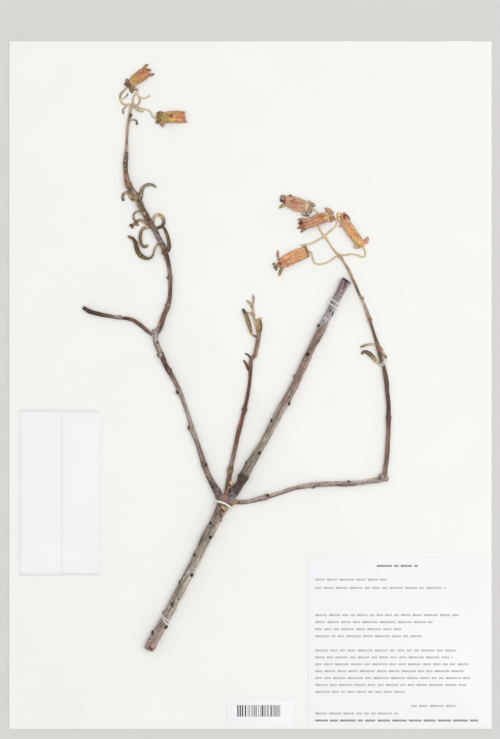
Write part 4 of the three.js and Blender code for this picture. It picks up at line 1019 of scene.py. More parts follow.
# Each stamp: x, y, radius, tone, strength of the paint, and height if it has one, below zero for a pit
STAMPS = [
    [-60.1, -160.5, 0.8, SPOT, 1, -0.3], [-61, -158.9, 0.5, SPOT, 0.8, -0.2],
    [-58.6, -161.6, 0.5, CHAR, 0.7, -0.1], [-61.5, -154.3, 0.5, SPOT, 0.9], [-62.2, -155.9, 0.4, CHAR, 0.8],
    [-59.8, -150.7, 0.95, SPOT, 1, -0.1], [-51.4, -147.3, 1.1, SPOT, 1, -0.1],
    [-47.7, -133.2, 1, SPOT, 0.95, -0.25], [-47.2, -134.3, 0.7, UMBER, 0.8, 0.1],
    [-43.6, -129.8, 0.7, CHAR, 0.7], [-43.2, -120.2, 0.9, CHAR, 0.8, 0.1],
    [-35.5, -115.6, 1.2, SPOT, 1, -0.1], [-33.8, -103.4, 1, SPOT, 1, -0.2],
    [-24.2, -92.5, 1.2, SPOT, 1, -0.25], [-24.5, -83.7, 1, SPOT, 1, -0.2],
    [-17.6, -82.8, 1, UMBER, 0.75, 0.1],
    # Torn bark under the fork
    [-19.2, -72.8, 0.6, CHAR, 0.9, -0.1], [-18, -73.2, 0.6, "#4A3A30", 0.9, -0.1],
    [-17.9, -74.6, 0.6, "#8A6030", 0.9, -0.1], [-17, -74, 0.7, "#DCC094", 0.95, 0.1],
    [-16.1, -75, 0.7, "#E0C088", 0.95, 0.1], [-15.2, -74.2, 0.6, "#C9A878", 0.9, 0.1],
    [-14.6, -75.7, 0.6, "#A8875C", 0.85], [-15, -77, 0.5, "#8A7358", 0.8],
    [-17.3, -75.9, 0.8, "#55341A", 1, -0.25], [-16.4, -76.6, 0.5, "#3F281A", 1, -0.2],
    [-18.5, -78.3, 1.1, "#4F3B38", 0.85, -0.15], [-17.7, -80, 0.7, "#5A4744", 0.75, -0.1],
    # The fork
    [-15.2, -69.6, 1.1, "#94705C", 0.75], [-14.9, -67.3, 1, "#94705C", 0.75],
    [-14.5, -65, 0.9, "#94705C", 0.6], [-12.7, -64.7, 0.5, "#54403A", 0.9, -0.1],
    [-12.7, -67.3, 0.5, "#54403A", 0.9, -0.1], [-10.7, -66.1, 0.9, "#8F8288", 0.45],
    [-11.5, -69.8, 1.2, "#8F8186", 0.6], [-18, -68.4, 1.2, "#7A6F66", 0.7],
    [-19.9, -69.4, 0.8, "#5F544E", 0.7], [-16.6, -70.9, 0.6, "#6A5A54", 0.7],
    [-13.2, -71.7, 0.6, "#5F524E", 0.7], [-11.9, -72.4, 0.8, "#554A45", 0.8],
    [-8.9, -65.9, 0.6, SPOT, 0.8, -0.1], [-8, -62, 0.7, "#8A7C80", 0.2], [-24.7, -59.4, 1, "#42332D", 0.85],
    [-23.3, -62.3, 1, "#42332D", 0.85], [-22.1, -65, 0.9, "#4A3A32", 0.8],
    [-26.2, -56.2, 0.8, "#4F3E36", 0.7], [-19.9, -63.4, 0.9, "#9C8E8E", 0.6],
    [-22, -58.4, 0.8, "#A09292", 0.6], [-17.9, -67, 0.7, "#8A8078", 0.6],
    [-7.2, -71.5, 0.6, "#5F3F2C", 0.95, -0.2], [-7.6, -71.6, 1.7, "#B08A70", 0.35],
    [-9.6, -71.5, 0.8, "#BFA38C", 0.6],
    # Torn wood beside the lowest shoot
    [-11.2, -59.2, 1.3, "#DEC49C", 0.9, 0.1], [-11.6, -60.3, 0.7, "#D2B48C", 0.9],
    [-12.7, -62.1, 0.5, "#D2B88F", 0.9], [-9.4, -59.2, 0.5, "#4F3526", 0.9],
    [-12.9, -60.9, 0.5, "#5A3A28", 0.9, -0.1], [-10.9, -62, 0.5, "#6A4A3A", 0.8],
    # Upper main stem
    [-3.2, -47.2, 0.9, SPOT, 0.9, -0.1], [1.6, -50.6, 0.9, "#A39B95", 0.6],
    [-0.2, -53.6, 0.9, "#8F8783", 0.5], [5.7, -41.4, 1.15, SPOT, 1, -0.2], [12.5, -21.4, 1, SPOT, 1, -0.15],
    [24.2, -10.9, 1.1, SPOT, 1, -0.1], [34.8, 18.7, 1.2, SPOT, 1, -0.3],
    [34.2, 16.6, 0.6, CHAR, 0.85, -0.1], [33.6, 14.8, 0.5, CHAR, 0.6, -0.1], [41.2, 36.7, 1, SPOT, 1, -0.1],
    [43.3, 37.4, 1.2, "#BDB6BC", 0.6], [45.4, 41, 1.2, "#BDB6BC", 0.6], [46.6, 44.6, 1.1, "#B5AEB2", 0.6],
    [49, 48.6, 1.1, "#B0A6AA", 0.6], [51.4, 53.4, 1.1, "#A89C9E", 0.6],
    [50.1, 42.7, 0.75, "#241C1C", 1, -0.1], [50.7, 43.8, 0.95, "#241C1C", 1, -0.1],
    [48.6, 44.9, 0.6, "#3F3538", 0.95, -0.15], [47.9, 43.2, 0.45, "#4A4044", 0.9, -0.15],
    [47, 41.5, 0.5, "#4A4044", 0.9, -0.15], [57.1, 64.7, 0.8, "#3F2F30", 0.9, -0.1],
    [58.2, 64, 1, "#32262A", 0.95, -0.2], [59.4, 63.3, 0.8, "#3F2F30", 0.9, -0.1],
    [58, 62.5, 0.85, "#3F2F30", 0.9, -0.2], [57.6, 61, 0.65, "#4A383C", 0.85, -0.2],
    [57.2, 59.4, 0.6, "#4F3C40", 0.8, -0.2], [56.6, 58, 0.5, "#55444A", 0.7, -0.2],
    [55.6, 55.8, 0.6, "#5A4A4C", 0.75], [55, 53.4, 0.5, "#5A4A4C", 0.7], [59.3, 61, 0.8, "#AE9C9C", 0.7],
    [55, 60, 0.8, "#988A8E", 0.5],
    # Branches and shoots
    [-27.2, -48.8, 0.85, SPOT, 1, -0.1], [-37.5, -25.9, 0.75, SPOT, 0.9], [-34.4, -24.6, 0.6, CHAR, 0.7],
    [-44.4, -4.3, 0.9, SPOT, 0.8], [-48.3, 9.2, 0.7, SPOT, 0.9], [-56, 18.2, 0.8, SPOT, 0.85],
    [-53.1, 19.4, 0.7, CHAR, 0.8], [-56.6, 25.9, 0.7, SPOT, 0.85], [-59, 31.2, 0.6, SPOT, 0.85],
    [-76, 40.7, 0.8, "#4F3F3A", 0.8], [-66.8, 36.6, 0.8, "#54443C", 0.7], [-71, 39.2, 0.6, "#54443C", 0.7],
    [-77.6, 41.7, 0.5, "#B5AAA4", 0.7], [-82, 41.8, 0.5, "#B5AAA4", 0.6],
    [-101.2, 46.9, 1.3, "#4A423C", 0.8], [-8.7, -35.4, 0.9, CHAR, 0.7], [-12.4, -51.6, 0.9, CHAR, 0.45],
    [-3.4, -14.6, 1, CHAR, 0.55], [10.6, -67.3, 0.95, SPOT, 1, -0.1], [38.8, -62, 0.9, SPOT, 0.8],
    [59.8, -58.8, 0.8, SPOT, 0.8], [78.8, -57, 0.8, SPOT, 0.8], [-49.8, 48.8, 0.8, "#A89488", 0.6, 0.1],
    [-54.2, 38.6, 0.6, "#54423A", 0.7], [-55.6, 35.2, 0.6, "#54423A", 0.6],
    [-75.2, 126.8, 1, "#AC7C64", 0.6, 0.1], [-75.9, 124.6, 0.6, "#5A4434", 0.7],
    [-74.6, 123.2, 0.9, "#9A7F5C", 0.6, 0.1], [-72.6, 119.6, 0.7, "#4F3C30", 0.7],
    [-71.2, 117.3, 0.7, "#A08A70", 0.6, 0.1], [-69.6, 113.6, 0.7, "#B5A290", 0.6, 0.1],
    [-67.6, 112.2, 0.6, "#4A3830", 0.8], [-68.4, 108.8, 0.7, "#4A3830", 0.7],
    [-76.2, 131.5, 0.6, HONEY, 0.7, -0.15], [-76.3, 134, 0.6, HONEY, 0.7, -0.15],
    [-76.3, 136.5, 0.6, HONEY, 0.6, -0.15], [-75.1, 141.4, 0.6, SPOT, 0.8, 0.1],
    [-75.1, 139.4, 0.5, UMBER, 0.8, 0.1], [-75.4, 147.2, 0.6, "#6F5C50", 0.7],
    [-75.3, 151.6, 0.5, "#6F5C50", 0.7], [-75, 156.2, 0.5, "#75625A", 0.6],
    [-72.9, 164, 0.6, SPOT, 0.7, 0.1], [-64.6, 104.4, 1, "#BFA595", 0.65],
    [-61.7, 100.4, 0.9, "#4F3C30", 0.7], [-59.6, 96.6, 0.6, "#A08C7C", 0.6],
    [-57, 92.6, 0.7, "#54423A", 0.6], [-56, 90.6, 0.9, "#9A8C92", 0.65], [-54.5, 87.4, 1, "#9A8C92", 0.6],
    [-53.4, 84.4, 0.7, "#A8948A", 0.5], [-51.6, 81.8, 0.7, "#4A382E", 0.7],
    [-50.6, 77.2, 0.7, "#4A3C36", 0.8], [-50, 74, 0.7, "#4A3C36", 0.7], [-10.2, -60.2, 0.6, "#D8BC94", 0.8],
    [-13.4, -50.4, 0.5, "#4A3A30", 0.7], [-11.1, -50.6, 0.5, "#4A3A30", 0.7],
    [-12.2, -50.1, 0.5, "#5A483C", 0.6], [-75.3, 154, 0.6, "#8A7A6C", 0.6],
    [13, -67.3, 0.8, "#80685A", 0.4], [66.5, 55.2, 0.6, "#7A6650", 0.5], [7.2, -35.4, 1.2, "#6F665E", 0.35],
    [-1.9, -52, 1.2, "#5F564E", 0.35], [74, 36, 0.7, "#64523F", 0.4], [-32.2, -104, 1.5, "#B8AFA5", 0.4],
    [-48.8, -135.5, 1.3, "#B4ABA1", 0.4], [-7.6, -30, 0.9, "#8E6A58", 0.5],
    [-52.4, 14, 0.9, "#86685E", 0.5], [-76.2, 140.2, 0.6, "#AC9888", 0.5], [83.4, -4, 0.9, "#86685E", 0.5],
    [66, -59.7, 1.2, "#C0B2AC", 0.5], [62.3, 65, 0.6, "#D0BCA4", 0.5], [57.6, 74.5, 0.7, "#DCCCB8", 0.5],
    # Dark flecks along the left twig's edges
    [-69.4, 37.2, 0.5, "#4A3A32", 0.6], [-73.6, 40.9, 0.45, "#4A3A32", 0.6],
    [-83.6, 40.9, 0.5, "#54443C", 0.5], [-87.2, 43.2, 0.5, "#4A3A32", 0.6],
    [-92.4, 42.4, 0.5, "#3F332C", 0.6], [-7, -71.6, 0.7, "#4F3222", 0.95, -0.2],
]


def stamp(bm, stamps):
    """Presses round marks into a mesh, seen from above, and paints them."""
    _, tone = old_layers(bm)
    tree = KDTree(len(bm.verts))
    bm.verts.ensure_lookup_table()
    for vert in bm.verts:
        tree.insert((vert.co.x, vert.co.y, 0), vert.index)
    tree.balance()
    bm.normal_update()
    for x, y, radius, colour, strength, *height in stamps:
        target = Vector(linear(colour))
        for _, index, gap in tree.find_range((x, y, 0), radius * STAMP_REACH):
            vert = bm.verts[index]
            ragged = RAGGEDNESS * noise.noise(vert.co * RAGGED_RATE)
            share = min(1.0, max(0.0, STAMP_END + ragged - gap / radius) / STAMP_FADE)
            soft = share * share * (3 - 2 * share)
            vert[tone] = Vector(vert[tone]).lerp(target, soft * strength)
            if height:
                vert.co += vert.normal * height[0] * soft


stamp(wood_bm, STAMPS)
rest_on_paper(wood_bm)
bark_tree = BVHTree.FromBMesh(wood_bm)
make_piece("furrowed_branch", wood_bm, bark_material, "dried_wood", "woody_stem")

# %% [markdown]
# # Blades, sepals and petals
# A drying leaf shrivels to a narrow strip whose edges roll up and inwards. Sepals and petals stay arched
# instead, with their edges on the paper. Both are a flat grid that is rolled across, bent along its route,
# given the thickness of paper, and painted from three tones: left edge, middle and right edge.

# %% Strips with rolled edges
WALL = 0.2
STRIP_ACROSS = 12
STRIP_STEP = 0.25
LEAF_ROLL = 2.1
SEPAL_ROLL = 1.35
# How blunt and how low a tip is, and the size of the edge's waves, the wrinkles and the paint's folds
TIP_WIDTH = 0.45
TIP_HEIGHT = 0.4
EDGE_WAVE = 0.16
EDGE_WAVE_RUN = 1.6
WRINKLE_MM = 0.16
WRINKLE_RUN = 1.1
FOLD_SHADE = 0.6
FOLD_RUN = 2.5
FOLDS_ACROSS = 3.2


def stop_tones(stop):
    """A stop's paint at the left edge, in the middle, and at the right edge where it differs."""
    _, left, middle, *right = stop
    return [light_of(tone) for tone in (left, middle, *(right or [left]))]


def blend_tones(stops, share, side):
    """Paint at a share of a strip's length, from the left edge at 1 to the right edge at -1."""
    shares = [stop[0] for stop in stops]
    i = min(max(bisect(shares, share), 1), len(stops) - 1)
    part = min(max((share - shares[i - 1]) / (shares[i] - shares[i - 1]), 0), 1)
    pairs = zip(stop_tones(stops[i - 1]), stop_tones(stops[i]))
    left, middle, right = [before.lerp(after, part) for before, after in pairs]
    return middle.lerp(left if side > 0 else right, min(1.0, abs(side) ** 1.5))


def slimmed(points, share):
    """The same route with all its widths scaled."""
    return [[x, y, width * share, *lift] for x, y, width, *lift in points]


def lay_strip(points, stops, height, roll, arched, seed):
    """A thin strip along a route, rolled up like a dry leaf or arched like a petal."""
    route = Route(points)
    bm = bmesh.new()
    bmesh.ops.create_grid(bm, x_segments=max(6, round(route.length / STRIP_STEP)),
                          y_segments=STRIP_ACROSS, size=0.5)
    layers = new_layers(bm)
    for vert in bm.verts:
        share = vert.co.x + 0.5
        side = vert.co.y * 2
        along = share * route.length
        place, heading, width = route.at(along)
        tip = min(1.0, TIP_WIDTH + (route.length - along) / max(width, 1))
        wave = noise.noise(Vector((along / EDGE_WAVE_RUN, math.copysign(2, side), seed)))
        half = width / 2 * tip * (1 + EDGE_WAVE * wave)
        angle = side * roll
        across = math.sin(angle) / math.sin(min(roll, math.pi / 2)) * half
        curl = (1 - math.cos(angle)) / (1 - math.cos(roll))
        up = height * (1 - curl if arched else curl) * min(1.0, TIP_HEIGHT + tip * (1 - TIP_HEIGHT))
        wrinkle = noise.noise(Vector((along / WRINKLE_RUN, side * 2, seed + 5)))
        up = max(0.0, up + WRINKLE_MM * wrinkle) + WALL
        fold = noise.noise(Vector((along / FOLD_RUN, side * FOLDS_ACROSS, seed + 9)))
        colour = blend_tones(stops, share, side) * (1 + FOLD_SHADE * fold)
        bend(vert, layers, place, heading, along, across, up, colour)
    thicken(bm, WALL)
    return bm


print("curl of a leaf's edge:", round(math.degrees(LEAF_ROLL)), "degrees")

# %% [markdown]
# # Leaves
# The leaves are dull olive to dark brown, and often paler where the roll turns its inner side up. Each has
# its strips and then its tones along them: share of the length, left edge, middle, and right edge where
# that differs from the left.

# %% The leaves' routes and tones
LEAVES = {
    "left_leaf_top_hook": ([[
        [-67.4, 112.4, 2.5], [-66.6, 116, 2.3], [-66.2, 118.6, 2.1], [-65.3, 120.6, 1.9],
        [-63.6, 121.8, 1.7], [-61.4, 122.3, 1.5], [-59.3, 121.9, 1.3], [-57.3, 120.5, 0.9],
    ]], [
        (0, "#574C3A", "#6B5F4C", "#4F4533"), (0.18, "#6E6650", "#A89C8A", "#746C58"),
        (0.35, "#6A6450", "#98917F", "#6F6A58"), (0.6, "#726C58", "#B5AFA1", "#7A7562"),
        (0.85, "#7E7866", "#ABA795", "#807A66"), (1, "#A8A496", "#C4C0B2"),
    ]),
    "left_leaf_top_curl": ([[
        [-70.8, 112.9, 2.6], [-72.7, 114.4, 2.4], [-73.7, 116.3, 1.7], [-75.4, 117.4, 1.5],
        [-77.2, 116.5, 1.4], [-77.9, 114.8, 1.4], [-77.3, 112.2, 1.1],
    ]], [
        (0, "#766652", "#887862", "#685844"), (0.25, "#B8AA90", "#BCAE96", "#8F846C"),
        (0.5, "#B8AE98", "#B4AA94", "#8A806A"), (0.8, "#8F8670", "#9C927E", "#756B58"),
        (1, "#7A7060", "#857B6A", "#6A6050"),
    ]),
    "left_leaf_ring": ([[
        [-65.3, 105.8, 1.2], [-68.3, 106, 1.1], [-70.6, 104.8, 1], [-71.3, 102.6, 1], [-70.6, 100.6, 1],
        [-69.6, 99.6, 1],
    ]], [
        (0, "#A08E7C", "#B09E8C", "#988876"), (0.3, "#B4A694", "#C2B4A2", "#A89A88"),
        (0.7, "#A09A88", "#B2AC9A", "#928E7A"), (1, "#7F7764", "#8F8774", "#75705C"),
    ]),
    "left_leaf_fork": ([[
        [-60.6, 97.2, 2.2], [-63.5, 98.8, 1.9], [-65.6, 100, 1.6], [-67.6, 100.4, 1.5], [-69.3, 99.6, 1.5],
        [-70.6, 98.2, 1.5], [-72.1, 97.6, 1.3], [-73.8, 97.2, 1.1],
    ], [
        [-70.2, 98.6, 1.4], [-71.5, 97.2, 1.3], [-72.3, 95.5, 1],
    ], [
        [-69.6, 99.4, 1.3], [-69, 98.3, 1.2], [-68.6, 97, 0.9],
    ]], [
        (0, "#8A7B5C", "#98896C", "#756848"), (0.25, "#BCA484", "#CCB69C", "#9A8864"),
        (0.45, "#A0927A", "#C2B29A", "#8C7E64"), (0.7, "#6F5F48", "#94826A", "#6A5A44"),
        (1, "#5A4B3A", "#7A6A5A"),
    ]),
    "left_leaf_long_loop": ([[
        [-60, 96.2, 2], [-62.6, 96.4, 2], [-64.9, 95.6, 1.9], [-66.4, 94, 1.8], [-67, 91.5, 1.8],
        [-67.1, 88.8, 1.7], [-66.7, 86.5, 1.7], [-65.5, 84.8, 1.6], [-63.9, 84.2, 1.4], [-62.4, 85.6, 0.9],
    ]], [
        (0, "#AA9C78", "#B4A58A", "#A0907C"), (0.15, "#B5A684", "#C2B29A", "#A8977F"),
        (0.4, "#8F8050", "#96806C", "#75604E"), (0.7, "#8C7F4E", "#8A785C", "#6F5C4A"),
        (0.85, "#74664F", "#86775F", "#6A5A46"), (1, "#ACA08C", "#B8AC9A", "#9C907C"),
    ]),
    "left_leaf_blade": ([[
        [-54.6, 86.6, 1.1], [-56.2, 85.9, 1], [-57.6, 84.3, 0.9], [-58.6, 82, 0.9], [-59.2, 79.6, 0.9],
        [-60.4, 77.8, 1], [-62.4, 77.1, 1.4], [-64.8, 77.8, 2.2], [-67, 79.2, 2.7], [-68.7, 81.7, 2.8],
        [-69.5, 84.6, 2.6], [-70.2, 87.2, 2.2], [-71.6, 89.2, 1.8], [-73.2, 90.2, 1.4], [-74.8, 90.8, 0.9],
    ]], [
        (0, "#6A5E52", "#7A6E60"), (0.1, "#C2B7AC", "#D8CDC4", "#BCB2A6"),
        (0.22, "#A8A094", "#BCB2A6", "#9A9080"), (0.34, "#7F745C", "#A89C88", "#7A6E58"),
        (0.44, "#5A5030", "#8F8258", "#4F452C"), (0.6, "#4F442E", "#786A4C", "#4A3F2A"),
        (0.8, "#54452E", "#6F5A40", "#4F4430"), (0.92, "#6A5F44", "#857A5C", "#5F5438"),
        (1, "#9A9084", "#A89E92"),
    ]),
    "left_leaf_loop": ([[
        [-59.6, 97.2, 1.4], [-59.2, 99.2, 1.3], [-58.9, 101.4, 1.4], [-57.8, 103.4, 1.5],
        [-55.9, 103.9, 1.6], [-54, 102.9, 1.8], [-52.9, 100.6, 2], [-52.9, 98.4, 1.9], [-54, 96.8, 1.8],
        [-56, 96, 1.5], [-57.3, 95.4, 1.3],
    ]], [
        (0, "#8F8272", "#A4988A"), (0.2, "#BCB0A0", "#D8CCC0", "#C0B4A4"),
        (0.45, "#B5A98E", "#D0C4AC", "#BEB094"), (0.6, "#94886C", "#B0A48C", "#8A7E64"),
        (0.75, "#5F5640", "#7A7058", "#544B36"), (0.9, "#4A402C", "#564C36", "#453C28"),
        (1, "#6A5E48", "#857860"),
    ]),
    "left_leaf_side_strip": ([[
        [-51.4, 81, 2.2], [-49.9, 82.6, 2.2], [-49.5, 85, 2.1], [-49.8, 88, 1.9], [-50.7, 91.4, 1.8],
        [-51.8, 94.2, 1.5], [-52.8, 96.4, 1.3],
    ]], [
        (0, "#5A4436", "#755A48"), (0.3, "#4C4330", "#7D6A50", "#48402D"), (0.8, "#544D38", "#8F7E62"),
        (1, "#5A5038", "#75684F"),
    ]),
    "centre_leaf_left": ([[
        [4.4, 29.2, 1], [2.4, 30, 0.9], [0.9, 31.2, 0.9], [0.1, 33.6, 1.9], [-0.8, 37, 2.4],
        [-1.9, 40.6, 2.5], [-3.1, 43.7, 2.2], [-4.7, 46.5, 1.2],
    ]], [
        (0, "#5F4C40", "#6F5A4A"), (0.14, "#AC9884", "#C0AC98"), (0.22, "#BAAA92", "#CABAA2", "#AE9E86"),
        (0.36, "#8F8866", "#A59474", "#857054"), (0.7, "#8A8458", "#A89A78", "#85704F"),
        (0.86, "#66624A", "#8F8568", "#5F5A45"), (0.94, "#4F4C3C", "#6F6C58", "#4A4638"),
        (1, "#5F5E52", "#8A8A7E"),
    ]),
    "centre_leaf_inner": ([[
        [4.6, 31.5, 1.1], [3.9, 34, 1], [3.2, 37.2, 1], [2.4, 40.2, 1.1], [1.4, 42.8, 1.2], [0, 43.9, 1],
        [-1.5, 44.1, 0.8],
    ]], [
        (0, "#9A8468", "#A8917A"), (0.15, "#CCB89C", "#DCCAB0"), (0.5, "#BCAA86", "#D4C4A4", "#B5A27C"),
        (0.8, "#C4AE90", "#DAC6AA"), (1, "#DECCB0", "#EEDEC4"),
    ]),
    "centre_leaf_broad": ([[
        [5.3, 31, 2.2], [5.4, 34, 2.7], [5, 37.5, 2.5], [4.3, 40.4, 1.5],
    ], [
        [6.2, 33, 1.3], [6.6, 35.4, 1.2], [6.3, 38.2, 1.1], [5.8, 40.3, 1.1], [6.7, 41.2, 0.8],
    ]], [
        (0, "#7A6048", "#8A7052", "#5F4C34"), (0.2, "#C4A888", "#BCA080", "#8A7454"),
        (0.7, "#CCB694", "#AE9A7A", "#8A7A58"), (1, "#E2D0B4", "#DCCAB0", "#BCAE92"),
    ]),
    "centre_leaf_tip": ([[
        [2.6, 41.9, 1.1], [1.9, 44.4, 1.1], [1.3, 47, 1.2], [0.4, 48.8, 1.1], [-0.7, 50.1, 0.9],
        [-2.1, 51.6, 0.8],
    ], [
        [1.2, 47.2, 1.1], [1.6, 50, 1], [2, 52.6, 0.9], [1.6, 55.2, 0.7],
    ]], [
        (0, "#D4C4AE", "#DED0BE", "#D4C6B6"), (0.5, "#C0AA88", "#D0BCA0", "#C8B498"),
        (1, "#C0B09C", "#D0C2B2", "#CABCB0"),
    ]),
    "right_leaf_upper": ([[
        [77.6, 23.4, 1.3], [75.6, 24.5, 1.1], [73, 24.8, 1.1], [70, 24.2, 1.1], [67, 23, 0.9],
    ]], [
        (0, "#B8A08C", "#C0A896"), (0.15, "#E6D8C6", "#EEE2D4", "#DECEBE"),
        (0.45, "#C0B4A4", "#D2C6B8", "#B8AC9C"), (0.75, "#8A8468", "#B0A892", "#857F64"),
        (1, "#8A8468", "#A8A088"),
    ]),
    "right_leaf_curl": ([[
        [80, 12.9, 1.3], [78.4, 13.1, 1.3], [76.7, 14.5, 1.8], [74.6, 17.1, 2.5], [72.4, 19.2, 2.6],
        [70.4, 20.3, 1.8], [68.9, 20.2, 1.5], [67.8, 18.7, 1.1],
    ]], [
        (0, "#B5A492", "#C4B3A2"), (0.22, "#CCBBA6", "#D6C6B4", "#BAA892"),
        (0.45, "#9A8E74", "#9E917C", "#70624E"), (0.62, "#857A5E", "#85785F", "#4F4338"),
        (0.8, "#6F6450", "#75685A", "#4F443A"), (0.92, "#908676", "#9C9082", "#766C5E"),
        (1, "#A09A8A", "#ADA698"),
    ]),
    "right_leaf_hook": ([[
        [78.8, 23, 1.3], [80.5, 21.4, 1.1], [81.2, 19.4, 1], [82, 18, 1.2], [83, 16.5, 1],
    ]], [
        (0, "#B5A08E", "#C8B4A0"), (0.35, "#E0CEBA", "#EADACA", "#D6C6B2"),
        (0.65, "#D6C8B8", "#E2D6C6", "#C6BAAA"), (0.85, "#8A897E", "#9E9C92", "#82827A"),
        (1, "#45473F", "#5A5C54"),
    ]),
}
THICK_LEAVES = ("left_leaf_blade", "centre_leaf_left", "centre_leaf_broad")
THICK_LEAF_HEIGHT = 1.0
LEAF_HEIGHT = 0.65
LEAF_SLIM = 0.88

for number, (leaf, (strips, stops)) in enumerate(LEAVES.items()):
    leaf_height = THICK_LEAF_HEIGHT if leaf in THICK_LEAVES else LEAF_HEIGHT
    leaf_bm = join([lay_strip(slimmed(points, LEAF_SLIM), stops, leaf_height, LEAF_ROLL, False,
                              3 * number + i) for i, points in enumerate(strips)])
    rest_on_paper(leaf_bm)
    make_piece(f"{leaf}_rolled", leaf_bm, leaf_material, "dried_leaf", leaf)

# %% [markdown]
# # Flower stalks
# The stalks are thin wiry pedicels that fork from two tips of the wood. They are laid like the wood, but
# with one low height all along, and fused where they meet. Their paint runs from a tone at the foot to a
# tone at the far end.

# %% The stalks' routes and tones
STALK_HEIGHT = 0.75
STALK_SIDES = 12
STALK_STEP = 0.3
STALK_RUN = (3.0, 0.4)
STALK_BUMP_MM = 0.06
STALK_SHADE = 0.3
STALK_MIDDLE_LIGHT = 1.04
STALK_FLANK_SHADE = 0.3
RIGHT_STALK_SLIM = 0.88
FORK_HEIGHT = 0.7
STALK_SEEDS = 120
FORK_SEEDS = 140
STALK_TAN = "#CEBFA2"
STALK_PALE = "#DDD0B6"
STALK_OLIVE = "#C4B494"
STALK_GREY = "#B8A686"
STALK_DARK = "#786A50"
# Each pedicel: its points, and its tones at its foot and at its far end
LEFT_STALK = [
    ([[-72.6, 169.6, 1.5], [-71.5, 170.9, 1.5], [-71.7, 173.6, 1.1], [-71.1, 176, 1], [-69.4, 178.2, 1],
      [-68.2, 180.4, 0.9]], STALK_GREY, STALK_TAN),
    ([[-72.6, 171.1, 1.4], [-75.4, 171.1, 1], [-77.6, 171.5, 1], [-79, 173, 1], [-79.4, 175.6, 1],
      [-78.5, 177.7, 1.1], [-77.1, 179.4, 1.1], [-75.2, 181.9, 1.1]], STALK_TAN, STALK_GREY),
    ([[-79, 173.6, 1], [-77.6, 174.9, 0.9], [-76.1, 175.7, 0.9], [-75.2, 176.8, 0.9], [-74.7, 177.8, 0.8]],
     STALK_PALE, "#94866C"),
    ([[-72.8, 171, 1.2], [-75, 170.7, 1], [-77, 168.8, 0.9], [-77.8, 167.2, 0.9], [-77.3, 165.4, 0.8]],
     STALK_TAN, STALK_DARK),
    ([[-72.4, 171, 1.3], [-70.4, 171, 1.1], [-68, 169.3, 1], [-65, 168.3, 1], [-62.2, 167.7, 1],
      [-60.8, 166.4, 1], [-60, 164.5, 1], [-58.9, 163.2, 1.1], [-57, 163, 1.2]], STALK_OLIVE, STALK_TAN),
    ([[-72, 170.8, 1.2], [-70, 169, 0.9, 0.9], [-68.3, 167.5, 0.9, 0.6], [-66.8, 166.8, 0.9, 0],
      [-65.2, 166.9, 0.8, 0]], STALK_GREY, STALK_GREY),
    ([[-69.4, 178.6, 1], [-68.3, 176.6, 1], [-67.5, 174.4, 1.1], [-67.5, 172.7, 1.2], [-68.2, 171.5, 1.1],
      [-68.9, 170.8, 0.9]], STALK_PALE, "#A6987E"),
    ([[-68, 176, 1], [-66, 175.1, 1], [-63.8, 175.1, 0.9], [-61, 176.8, 0.8]], STALK_TAN, STALK_PALE),
    ([[-77.3, 179.5, 0.7, 0.2], [-78.6, 178.4, 0.8, 0.2], [-79.4, 176.5, 0.9, 0.2],
      [-79.5, 174.8, 0.7, 0.2]], "#8A7A64", "#9A8A72"),
]
LEFT_BRACT = [
    ([[-73.7, 161.4, 1.2, 0.4], [-71.4, 161.8, 1.1], [-69.5, 161.2, 1.1], [-69.2, 158.7, 1.2]], "#B8B19A",
     "#48473C"),
]
RIGHT_STALK = [
    ([[54.4, 77.6, 1.6], [53.2, 79.8, 1.7], [51.4, 81.7, 1.2], [49.4, 84.5, 1.1], [47.4, 87.6, 1.1],
      [45.3, 90.9, 1.6]], "#BCA98C", "#C6B692"),
    ([[54.3, 79.2, 1.4], [51.5, 78, 1.1], [48.8, 75.8, 1], [45.5, 74.3, 1], [42, 73.7, 1], [39.4, 74.4, 1],
      [38.3, 76.4, 1], [37.7, 79, 1], [36.8, 81.1, 1.1], [35, 81.4, 1.1]], STALK_TAN, "#CBBC98"),
    ([[54.4, 78.9, 1.4], [58, 79.3, 1.1], [61.8, 79.8, 1], [66, 79, 1], [68.4, 77.9, 1], [69.8, 78.8, 1],
      [70.2, 80.8, 1], [69.4, 83, 1.1], [68.2, 84.9, 1.2]], STALK_TAN, "#D0C496"),
    ([[45.4, 90.5, 1.5], [42, 88.9, 1.1], [39.5, 87.4, 1], [36.5, 86.1, 1], [33.4, 85.7, 0.9],
      [30.6, 85.3, 0.8]], "#CBBB9C", "#D2C29C"),
    ([[45.3, 90.6, 1.4], [43.6, 92.8, 1.1], [42.3, 95.2, 1.1], [41.7, 98.4, 1.1], [41.7, 102, 1.1],
      [41.1, 105, 1.3], [39.5, 106.5, 1.4], [37.6, 107.4, 1.4]], "#CFC0A0", "#D8CCB0"),
    ([[45.2, 90.7, 1.5], [46.8, 92.2, 1.1], [48.6, 93.9, 1.1], [50.7, 95.6, 1.1], [52.3, 97.3, 1.2],
      [52.8, 99, 1.1], [51.8, 101.3, 1]], "#C8B99C", "#E0CEB2"),
]
RIGHT_FORKS = [[54.4, 78.9, 2.4, "#B8A68A"], [45.3, 90.8, 2.5, "#D6C8A6"]]


def stalk_skin(foot, far, length):
    """The skin of a stalk: faint ribs, paint from one tone to another, and painted shade on its flanks."""
    tones = Tones([(0, foot), (length, far)])

    def skin(distance, y, z, width, seed):
        ribs = stream(distance, y * (width / 2), z * (width / 2), STALK_RUN, seed)
        # Painted shade: the round stalk's flanks are painted darker than its middle
        edge = STALK_MIDDLE_LIGHT - STALK_FLANK_SHADE * abs(y) ** 3
        return STALK_BUMP_MM * ribs, tones.at(distance) * (1 + STALK_SHADE * ribs) * edge
    return skin


def lay_stalk(points, foot, far, height, sides, seed):
    """One wiry pedicel or filament."""
    skin = stalk_skin(foot, far, Route(points).length)
    return lay_bar(points, 0, height, sides, STALK_STEP, skin, seed)


